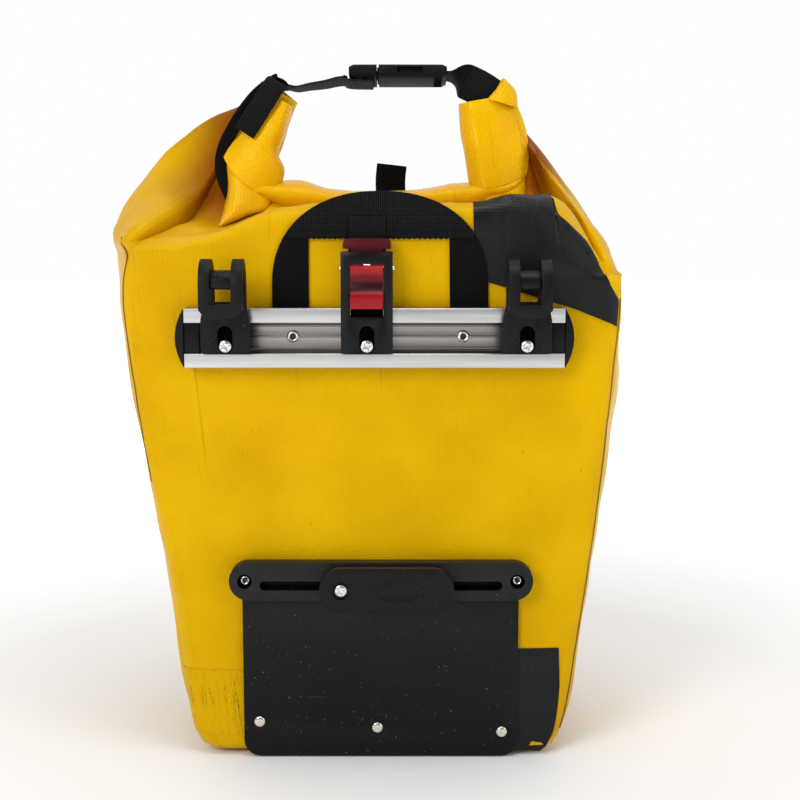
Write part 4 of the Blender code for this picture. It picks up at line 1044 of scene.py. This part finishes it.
def folded_flap(name, left, right, crest, depth=9.0, sag=0.0, crumple=0.6, bow=(0, 0), rows=44):
    """Layer of cloth folded round the roll: a sheet between two edges that swells towards the rack.

    left and right are edges in mm, crest is where across it, 0 to 1, it stands highest, and bow is
    how far its last row curves away in X and Z, in mm.
    """
    left, right = spline(in_mm(left), 10), spline(in_mm(right), 10)
    across = 34
    made, uvs = [], []
    for r in range(-2, rows + 3):
        down = max(0.0, min(1.0, r / rows))
        a, b = at_share(left, down), at_share(right, down)
        turned_in = max(0, -r, r - rows)
        row, marks = [], []
        for c in range(-3, across + 4):
            s = max(0.0, min(1.0, c / across))
            peak = s / crest if s < crest else (1 - s) / (1 - crest)
            swell = math.sin(math.pi / 2 * peak) ** 0.7 * (depth + sag * math.sin(math.pi * down))
            bend = math.sin(math.pi * s) * down ** 3
            point = a.lerp(b, s) + Vector((bow[0], 0, bow[1])) * bend * MM
            wrinkle = noise.noise(Vector((point.x, point.z * 0.5, 0.02)) / (13 * MM)) * crumple
            ridge = noise.noise(Vector((point.x * 1.4, point.z, 0.3)) / (24 * MM))
            wrinkle += (0.5 - abs(ridge)) * 2 * crumple
            tuck = max(0, -c, c - across)
            y = -swell - wrinkle + 2.2 * tuck + 1.6 * turned_in
            point = point + Vector((math.copysign(0.35 * tuck, 0.5 - s) * MM, y * MM, 0))
            row.append(point)
            marks.append((s * (b - a).length, down * 0.08))
        made.append(row)
        uvs.append(marks)
    obj = grid(name, made, GLOSSY_YELLOW, uvs, smooth=60)
    thickened(obj, 0.8 * MM)
    painted(obj, 0.12)
    return dress(obj)


def horns():
    """The roll's bent ends, where layers of cloth lie folded over each other."""
    left = [(-70.5, -2, 458), (-81, -4, 447.5), (-97, -5, 431), (-105, -4, 424)]
    left += [(-109.3, -3, 419.3)]
    right = [(-59.8, 0, 452), (-65.3, -2, 433.6), (-70.3, -3, 419.6), (-66.2, -4, 408.4)]
    right += [(-68, -5, 398.5), (-73, -6, 390.1)]
    folded_flap("horn_left_upper", left, right, 0.6, depth=9, bow=(-3.5, -5))
    left = [(-109.2, 0, 421), (-106, -3, 406), (-104.6, -9, 394.3)]
    left += [(-106.5, -18, 381), (-108.6, -31, 369)]
    right = [(-71, -2, 393), (-75.5, -8, 386), (-80, -14, 380), (-91, -22, 376.5)]
    right += [(-107, -31, 368.6)]
    folded_flap("horn_left_lower", left, right, 0.28, depth=5, sag=4, crumple=0.9)
    left = [(59.4, -1, 453.5), (60.8, -2, 434), (63.8, -3, 418), (66.3, -4, 402), (68.3, -4, 393.5)]
    right = [(92.5, 1, 459.5), (98, 0, 448), (101, -1, 437), (104, -2, 428), (105.5, -3, 403.5)]
    folded_flap("horn_right_upper", left, right, 0.3, depth=9, bow=(0, -2.2), crumple=0.9)
    left = [(67.4, -1, 397), (68, -3, 390), (68.4, -6, 382), (68.6, -9, 376)]
    right = [(106, -1, 406), (105.8, -3, 399), (105.6, -6, 388), (105.4, -9, 379)]
    folded_flap("horn_right_lower", left, right, 0.62, depth=6)
    left = [(89.5, -6, 471), (86, -8, 464.5), (80, -8, 457.5)]
    right = [(91.5, -4, 470), (98.2, -5, 462.5), (99.4, -6, 452)]
    folded_flap("horn_right_peak", left, right, 0.55, depth=4, rows=24)


def mouth_edging():
    """Black binding beside the left end of the roll, and the ribbed tab over it."""
    path = [(-69, -2, 471), (-73, -3, 469), (-83.5, -4, 461), (-92.5, -5, 450.5), (-100, -6, 439)]
    path += [(-107, -6, 426), (-110, -6, 414), (-109, -7, 403), (-104.5, -9, 392), (-101, -11, 386)]
    points = spline(in_mm(path), 6)
    sides = []
    for i in range(len(points)):
        ahead = points[min(i + 1, len(points) - 1)] - points[max(i - 1, 0)]
        sides.append(ahead.cross(Vector((0, -1, 0))).normalized() + Vector((0, -0.3, 0)))
    strip = ribbon("mouth_binding", points, sides, 9.5 * MM, 1.3 * MM, PLAIN_WEBBING)
    dress(strip, "bag", ["stiffener_strip"])
    start, end = Vector((-70.8, -12.5, 466.8)) * MM, Vector((-92.6, -15.5, 433.4)) * MM
    lip = start + Vector((3.2, 6.5, 0.5)) * MM
    middle = start.lerp(end, 0.5) + Vector((0, -1.2 * MM, 0))
    points = spline([lip, start, middle, end], 8)
    sides = [Vector((0.86, 0, -0.52))] * len(points)
    tab = ribbon("webbing_tab_fine", points, sides, 15.5 * MM, 2.0 * MM, WEBBING)
    dress(tab, "bag", ["webbing_tab"])


# ================================================================ webbing
STRAP_WIDTH = 25 * MM
STRAP_THICKNESS = 1.6 * MM
HANDLE_X = 3.7
HANDLE_HALF = 72.7
HANDLE_TOP = 393
ARCH_Z = 330
HANDLE_FOOT_Z = 306 * MM
HANDLE_LEG_Y = (-77.0 * MM, -76.1 * MM)
HANDLE_BAND_Y = (-78.3 * MM, -77.2 * MM)


def outlined_sheet(name, outline, y0, y1, mat, nodes=()):
    """Flat piece cut to an outline in X and Z, with soft edges and a UV map in metres."""
    bm = bmesh.new()
    face = bm.faces.new([bm.verts.new((x, y0, z)) for x, z in outline])
    made = bmesh.ops.extrude_face_region(bm, geom=[face])
    moved = [v for v in made["geom"] if isinstance(v, bmesh.types.BMVert)]
    bmesh.ops.translate(bm, vec=(0, y1 - y0, 0), verts=moved)
    obj = link(name, bm, mat)
    bevelled(obj, 0.3 * MM, 2)
    layer = obj.data.uv_layers.new(name="cloth")
    for loop in obj.data.loops:
        place = obj.data.vertices[loop.vertex_index].co
        layer.data[loop.index].uv = (place.x, place.z)
    dress(obj, "bag", nodes)


def handle_curve(steps):
    """Outer edge of the carry handle, in X and Z: half a superellipse."""
    points = []
    for i in range(steps + 1):
        angle = math.pi * (i / steps)
        a = flattened(math.cos(angle), 0.9)
        rise = abs(math.sin(angle)) ** 0.9
        height = ARCH_Z + (HANDLE_TOP - ARCH_Z) * rise
        points.append(((HANDLE_X + HANDLE_HALF * a) * MM, height * MM))
    return points


def scalloped(x0, x1, z, count, height=0.45 * MM):
    """Line from x0 to x1 with the small scallops of a cut selvedge."""
    return [(x0 + (x1 - x0) * i / count, z + (height if i % 2 else -height))
            for i in range(count + 1)]


def carry_handle():
    """A wide band across the top, sewn over two legs that run down behind the rail."""
    arch = handle_curve(40)
    right = [p for p in arch if p[0] > 50 * MM]
    left = [p for p in arch if p[0] < -44 * MM]
    inner_right = [(50 * MM, 372 * MM), (50.6 * MM, HANDLE_FOOT_Z)]
    leg = [((HANDLE_X + HANDLE_HALF) * MM, HANDLE_FOOT_Z)] + right + inner_right
    outlined_sheet("handle_leg_right", leg, *HANDLE_LEG_Y, PLAIN_WEBBING)
    leg = [(-44.4 * MM, HANDLE_FOOT_Z), (-44 * MM, 372 * MM)] + left
    leg.append(((HANDLE_X - HANDLE_HALF) * MM, HANDLE_FOOT_Z))
    outlined_sheet("handle_leg_left", leg, *HANDLE_LEG_Y, PLAIN_WEBBING)
    top = [p for p in arch if p[1] > 361 * MM]
    band = top + scalloped(top[-1][0] + 1 * MM, top[0][0] - 1 * MM, 361.2 * MM, 70)
    outlined_sheet("handle_band", band, *HANDLE_BAND_Y, WEBBING, ["carry_handle"])


def release_strap():
    path = [(-5, -77.9, 344), (-5, -78.6, 352), (-5, -79.5, 364), (-5, -79.3, 376)]
    points = spline(in_mm(path), 6)
    sides = [Vector((1, 0, 0))] * len(points)
    strap = ribbon("release_strap_fine", points, sides, STRAP_WIDTH, 1.1 * MM, WEBBING)
    dress(strap, "bag", ["release_strap"])


def buckle_side():
    return Vector((0, math.cos(BUCKLE_TILT), -math.sin(BUCKLE_TILT)))


def in_buckle(x, across, up):
    """World point from the buckle's own axes, in mm."""
    cos, sin = math.cos(BUCKLE_TILT), math.sin(BUCKLE_TILT)
    return Vector((x, BUCKLE_Y + across * cos + up * sin, BUCKLE_Z - across * sin + up * cos)) * MM


def closing_strap():
    """Two lengths of webbing that turn from the horns to the buckle."""
    left = [(-74, 2, 462), (-67.5, 4, 465.5), (-62.5, 5, 466), (-56, 5, 465), (-47, 4.6, 466.5)]
    left += [(-36, 3.4, 468), (-27, 3, 470), (-20, 3, 470.6)]
    right = [(88, -2, 455), (80, -1, 461), (73, 0, 465.5), (65, 2, 469.5), (57.5, 3.6, 472.8)]
    right += [(49.5, 4, 474)]
    for name, route, first, turn, last in (("left", left, (0.55, 0.6, -0.4), 0.3, 0.3),
                                           ("right", right, (-0.43, 0, -0.9), 0.9, 0.5)):
        points = spline(in_mm(route), 8)
        count = len(points) - 1
        flat = Vector((0, 1, -0.1)) if name == "left" else Vector(first)
        sides = []
        for i in range(count + 1):
            share = i / count
            begun = Vector(first).lerp(flat, ease(share / turn))
            sides.append(begun.lerp(buckle_side(), ease((share - last) / (0.95 - last))))
        strap = ribbon(f"closing_strap_{name}", points, sides, STRAP_WIDTH, STRAP_THICKNESS,
                       WEBBING)
        dress(strap, "bag", [f"strap_{name}"])
        if name == "left":
            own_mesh(strap)
    path = spline([in_buckle(-22.5, 0, -2.5), in_buckle(-19.5, 0, -5.6), in_buckle(-2, 0, -6.3)], 6)
    layer = ribbon("strap_layer_under_buckle", path, [buckle_side()] * len(path),
                   STRAP_WIDTH, STRAP_THICKNESS, WEBBING)
    dress(layer, "buckle_male")


def keeper_strap():
    path = [(10, 30, 386), (10, 34, 394), (10, 33, 402), (11, 31, 412)]
    points = spline(in_mm(path), 6)
    sides = [Vector((1, 0, -0.22))] * len(points)
    strap = ribbon("keeper_strap_fine", points, sides, 22 * MM, STRAP_THICKNESS, PLAIN_WEBBING)
    dress(strap, "bag", ["keeper_strap"])


# ================================================================ hard parts
SCREW_HEAD_R = 4.2
SCREW_HEAD_DEPTH = 2.3
SHANK_R = 2.0
# The recess of a clamping screw: its first and last depth, height, half width and half height.
SCREW_RECESS = ((-94.2, -91), 296, 5.4, 9)


def solid(name, bm, mat, body, nodes=(), edge=0.0, cutters=()):
    obj = link(name, bm, mat)
    if cutters:
        trimmed(obj, cutters)
    if edge:
        bevelled(obj, edge)
    return dress(obj, body, nodes)


def capped(rings):
    """Closed solid through rings of points, the first and last of them filled."""
    bm = bmesh.new()
    rings = [[bm.verts.new(p) for p in ring] for ring in rings]
    bm.faces.new(rings[0])
    bm.faces.new(list(reversed(rings[-1])))
    for first, second in zip(rings, rings[1:]):
        for i in range(len(first)):
            j = (i + 1) % len(first)
            bm.faces.new((first[j], first[i], second[i], second[j]))
    return bm


def prism(outline, low, high, axis):
    """Closed solid from a 2-D outline in metres, extruded along X or Y."""
    place = {"X": lambda a, b, h: (h, a, b), "Y": lambda a, b, h: (a, h, b)}[axis]
    return capped([[place(a, b, h) for a, b in outline] for h in (low, high)])


def circle(a, b, radius, segments):
    """Points of a circle about (a, b)."""
    angles = [math.tau * i / segments for i in range(segments)]
    return [(a + radius * math.cos(t), b + radius * math.sin(t)) for t in angles]


def turned(profile, x, z):
    """Solid turned about the line along Y through (x, z), from (y, radius) pairs in mm."""
    return capped([[(a, y * MM, b) for a, b in circle(x, z, radius * MM, 40)]
                   for y, radius in profile])


def rod(x0, x1, y, z, radius):
    return prism(circle(y, z, radius, 24), x0, x1, "X")


def cutter(bm):
    obj = link("cutter", bm, PLASTIC)
    obj.hide_render = True
    return obj


def packed(node):
    """The frame's own solid, with its flat faces rejoined."""
    bm = bmesh.new()
    bm.from_mesh(frame["nodes"][node].data)
    bmesh.ops.remove_doubles(bm, verts=bm.verts, dist=2e-6)
    bmesh.ops.dissolve_limit(bm, angle_limit=math.radians(1.5), verts=bm.verts, edges=bm.edges)
    return bm


def box_and_middle(node):
    """The node's two corners, and the middle of them in X and in Z."""
    low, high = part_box(node)
    return low, high, (low.x + high.x) / 2, (low.z + high.z) / 2


def refined(node, edge, mat, cutters=(), segments=3):
    """The frame's own solid with its edges rounded."""
    obj = link(f"{node}_fine", packed(node), mat)
    if cutters:
        trimmed(obj, list(cutters))
    bevelled(obj, edge, segments)
    return dress(obj, BODY_OF[node], [node])


def restyle(nodes, mat):
    """Gives frame nodes that stay as they are a finished material."""
    for node in nodes:
        data = frame["nodes"][node].data
        if not data.materials:
            data.materials.append(mat)
        for slot in frame["nodes"][node].material_slots:
            slot.material = mat


def shadowed(obj, x, y, z, half_x, half_z):
    """Darkens the floor and walls of a recess. All in mm, and y holds its first and last depth."""
    obj.data.materials.append(VOID)
    for face in obj.data.polygons:
        c = face.center / MM
        if abs(c.x - x) < half_x and abs(c.z - z) < half_z and y[0] < c.y < y[1]:
            face.material_index = len(obj.data.materials) - 1


def hooks():
    for side in ("left", "right"):
        low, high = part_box(f"hook_{side}")
        bore = cutter(rod(low.x - 2 * MM, high.x + 2 * MM, -111.5 * MM, 341.3 * MM, 1.3 * MM))
        hook = refined(f"hook_{side}", 0.8 * MM, PLASTIC, [bore])
        shadowed(hook, (low.x + high.x) / 2 / MM, *SCREW_RECESS)
        refined(f"hook_insert_{side}", 0.3 * MM, SMOOTH_PLASTIC)


def catch():
    housing = refined("catch_housing", 0.6 * MM, SMOOTH_PLASTIC)
    shadowed(housing, -5, *SCREW_RECESS)
    lever = refined("catch_lever", 0.45 * MM, RED)
    # Painted shade: the lever's faces above 345.5 mm take the darker red.
    lever.data.materials.append(RED_PAINTED_SHADE)
    for face in lever.data.polygons:
        c = face.center / MM
        if c.z > 345.5:
            face.material_index = 1
    # Painted shadow: a thin black sheet behind the lever, where there is only shade.
    back = [(-89.9, 309), (-90.2, 309), (-90.2, 319.5), (-89.9, 319.5)]
    back = prism([(y * MM, z * MM) for y, z in back], -15.8 * MM, 5.8 * MM, "X")
    solid("catch_painted_shadow", back, VOID, "catch")
    low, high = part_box("catch_pin")
    pin = rod(low.x, high.x, -85.6 * MM, 342 * MM, 1.5 * MM)
    solid("catch_pin_fine", pin, ZINC, "catch", ["catch_pin"], 0.3 * MM)


def rail_profile():
    """Section of the extrusion: a channel with two lips, and fine ribs along its floor."""
    outline = [(-77.6, 275.5), (-89.6, 275.5), (-90, 275.9), (-90, 284.9), (-89.6, 285.3)]
    outline += [(-88, 285.3), (-88, 277.7)]
    outline += [(-79.6, 277.7), (-79.6, 287.2), (-80.1, 287.6), (-80.1, 288.4), (-79.6, 288.8)]
    outline += [(-79.6, 295.2), (-80.0, 295.5), (-80.0, 296.1), (-79.6, 296.4), (-79.6, 302.4)]
    outline += [(-80.1, 302.8), (-80.1, 303.6), (-79.6, 304), (-79.6, 313.3), (-88, 313.3)]
    outline += [(-88, 305.7), (-89.6, 305.7)]
    outline += [(-90, 306.1), (-90, 315.1), (-89.6, 315.5), (-77.6, 315.5)]
    return [(y * MM, z * MM) for y, z in outline]


def rail():
    low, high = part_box("rail")
    drawn = prism(rail_profile(), low.x, high.x, "X")
    solid("rail_fine", drawn, ALUMINIUM, "bag", ["rail"], 0.12 * MM)
    for side in ("left", "right"):
        refined(f"rail_cap_{side}", 0.6 * MM, SMOOTH_PLASTIC)


def cross_recess(x, z, face_y, radius):
    """Cutters for a Pozidriv recess: a cross, and a fainter one turned by an eighth."""
    made = []
    slots = ((0, 0.78, 1.3), (math.pi / 2, 0.78, 1.3), (0.785, 0.55, 0.45), (2.356, 0.55, 0.45))
    for angle, length, depth in slots:
        half, wide = radius * length, radius * (0.13 if depth > 1 else 0.05)
        corners = [(-half, -wide), (half, -wide), (half, wide), (-half, wide)]
        cos, sin = math.cos(angle + 0.5), math.sin(angle + 0.5)
        outline = [(x + a * cos - b * sin, z + a * sin + b * cos) for a, b in corners]
        made.append(cutter(prism(outline, face_y - 3 * MM, face_y + depth * MM, "Y")))
    return made


def screw(node):
    """Pan head with its cross recess, and a plain shank behind it."""
    low, high, x, z = box_and_middle(node)
    front, tip, r = low.y / MM, high.y / MM, SCREW_HEAD_R
    under = front + SCREW_HEAD_DEPTH
    profile = [(front, r * 0.45), (front + 0.12, r * 0.72), (front + 0.55, r * 0.93)]
    profile += [(front + 1.1, r), (under, r), (under, SHANK_R), (tip, SHANK_R)]
    cutters = cross_recess(x, z, front * MM, r * MM)
    solid(f"{node}_fine", turned(profile, x, z), ZINC, BODY_OF[node], [node],
          0.06 * MM, cutters)


def tubular_rivet(node, radius):
    """Semi-tubular rivet: a rolled bright ring round a dull bore."""
    low, high, x, z = box_and_middle(node)
    front, back = low.y / MM, high.y / MM
    ring = [(front + 1.5, radius * 0.5), (front + 0.3, radius * 0.56), (front, radius * 0.72)]
    ring += [(front + 0.25, radius * 0.9), (front + 0.9, radius), (front + 1.8, radius)]
    ring += [(front + 1.8, SHANK_R), (back, SHANK_R)]
    obj = solid(f"{node}_fine", turned(ring, x, z), NICKEL, "bag", [node])
    obj.data.materials.append(RUST)
    for face in obj.data.polygons:
        away = (face.center - Vector((x, face.center.y, z))).length
        if face.center.y > (front + 1.2) * MM and away < 1.9 * MM:
            face.material_index = 1


def domed_rivet(node, radius, height):
    low, high, x, z = box_and_middle(node)
    front, back = low.y / MM, high.y / MM
    profile = []
    for i in range(9):
        share = 0.08 + 0.92 * i / 8
        profile.append((front + height * (1 - (1 - share ** 3) ** 0.5), radius * share))
    profile += [(front + height + 0.3, radius), (front + height + 0.3, SHANK_R), (back, SHANK_R)]
    solid(f"{node}_fine", turned(profile, x, z), NICKEL, "bag", [node])


def fasteners():
    for node in ("hook_left_screw", "hook_right_screw", "catch_screw", "foot_screw"):
        screw(node)
    for place in ("left", "center", "right"):
        tubular_rivet(f"rail_rivet_{place}", 4.0)
        domed_rivet(f"scuff_rivet_{place}", 4.0, 1.5)
    for place in ("left", "right"):
        tubular_rivet(f"bar_rivet_{place}", 3.4)
    hidden = ("washer", "_nut", "catch_spring")
    restyle([n for n in frame["nodes"] if any(part in n for part in hidden)], ZINC)
    restyle(["back_board"], PLASTIC)


def lower_fittings():
    """Bar, foot and scuff plate. The bar's two rivets sit in wide wells."""
    wells = []
    for side in ("left", "right"):
        low, _, x, z = box_and_middle(f"bar_rivet_{side}")
        ring = circle(x, z, 4.9 * MM, 40)
        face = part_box("lower_bar")[0].y
        well = cutter(prism(ring, face - 2 * MM, low.y + 1.2 * MM, "Y"))
        wells.append((well, x / MM, z / MM, face / MM))
    bar = refined("lower_bar", 1.3 * MM, BAR_PLASTIC, [w[0] for w in wells], 4)
    for _, x, z, face in wells:
        shadowed(bar, x, (face + 1.4, -75), z, 5.4, 5.4)
    shadowed(bar, 4, (wells[0][3] + 0.9, -75), 128.5, 88, 4.5)
    refined("foot", 0.9 * MM, SMOOTH_PLASTIC, segments=4)
    refined("scuff_plate", 0.35 * MM, GLOSS)
    # Painted shadow: a black patch on the back panel behind the bar, seen only through its slot.
    patch("bar_painted_shadow", 0.18, 0.85, -198, -171, BLACK_PVC, lift=0.2 * MM)


def domed(a):
    """How much of the buckle's thickness is left at a distance in mm from its middle line."""
    return (1 - min(0.98, (abs(a) / 17.6) ** 3.2)) ** 0.3125


def moulded_buckle(node, edge, end=None):
    """A buckle piece whose flat faces swell to a rounded section, thinner towards its outer end."""
    bm = packed(node)
    middle = in_buckle(0, 0, 0)
    along, across, up = Vector((1, 0, 0)), buckle_side(), (in_buckle(0, 0, 1) - middle).normalized()
    cuts = [(across, sign * d) for d in (4, 8, 10.8, 13, 14.7, 15.8) for sign in (-1, 1)]
    if end is not None:
        cuts += [(along, end - math.copysign(d, end)) for d in (1.2, 3)]
    for direction, distance in cuts:
        everything = bm.verts[:] + bm.edges[:] + bm.faces[:]
        bmesh.ops.bisect_plane(bm, geom=everything, dist=1e-6,
                               plane_co=middle + direction * distance * MM, plane_no=direction)
    for vertex in bm.verts:
        rel = (vertex.co - middle) / MM
        height = rel.dot(up)
        kept = domed(rel.dot(across))
        if end is not None:
            kept *= 1 - 0.4 * (1 - ease(abs(end - rel.x) / 4.5)) ** 2
        vertex.co -= up * height * (1 - kept) * MM
    obj = link(f"{node}_fine", bm, BUCKLE_PLASTIC)
    bevelled(obj, edge, 3)
    return dress(obj, BODY_OF[node], [node])


def buckle():
    """Side-release buckle, with rounded sides and a thumb pad in each oval window."""
    moulded_buckle("buckle_male", 1.3 * MM, -19)
    moulded_buckle("buckle_female", 1.3 * MM, 50)
    for name, sign in (("front", -1), ("rear", 1)):
        node = f"buckle_arm_{name}"
        moulded_buckle(node, 0.8 * MM)
        rows, marks = [], []
        for i in range(17):
            share = i / 16 * 2 - 1
            bulge = math.sqrt(max(0.0, 1 - share * share))
            ring = []
            for k in range(13):
                up = (k / 12 * 2 - 1)
                out = 12.2 + 0.9 * bulge * math.sqrt(max(0.0, 1 - up * up))
                high = up * 2.5 * (0.35 + 0.65 * bulge) * domed(out)
                ring.append(in_buckle(24 + 8 * share, sign * out, high))
            rows.append(ring)
            marks.append([(0.001 * i, 0.001 * k) for k in range(13)])
        pad = grid(f"thumb_pad_{name}", rows, BUCKLE_PLASTIC, marks)
        thickened(pad, 0.4 * MM)
        dress(pad, BODY_OF[node])


camera()
studio()
bag_body()
patches()
seams()
rolled_mouth()
horns()
mouth_edging()
carry_handle()
release_strap()
closing_strap()
keeper_strap()
hooks()
catch()
rail()
fasteners()
lower_fittings()
buckle()
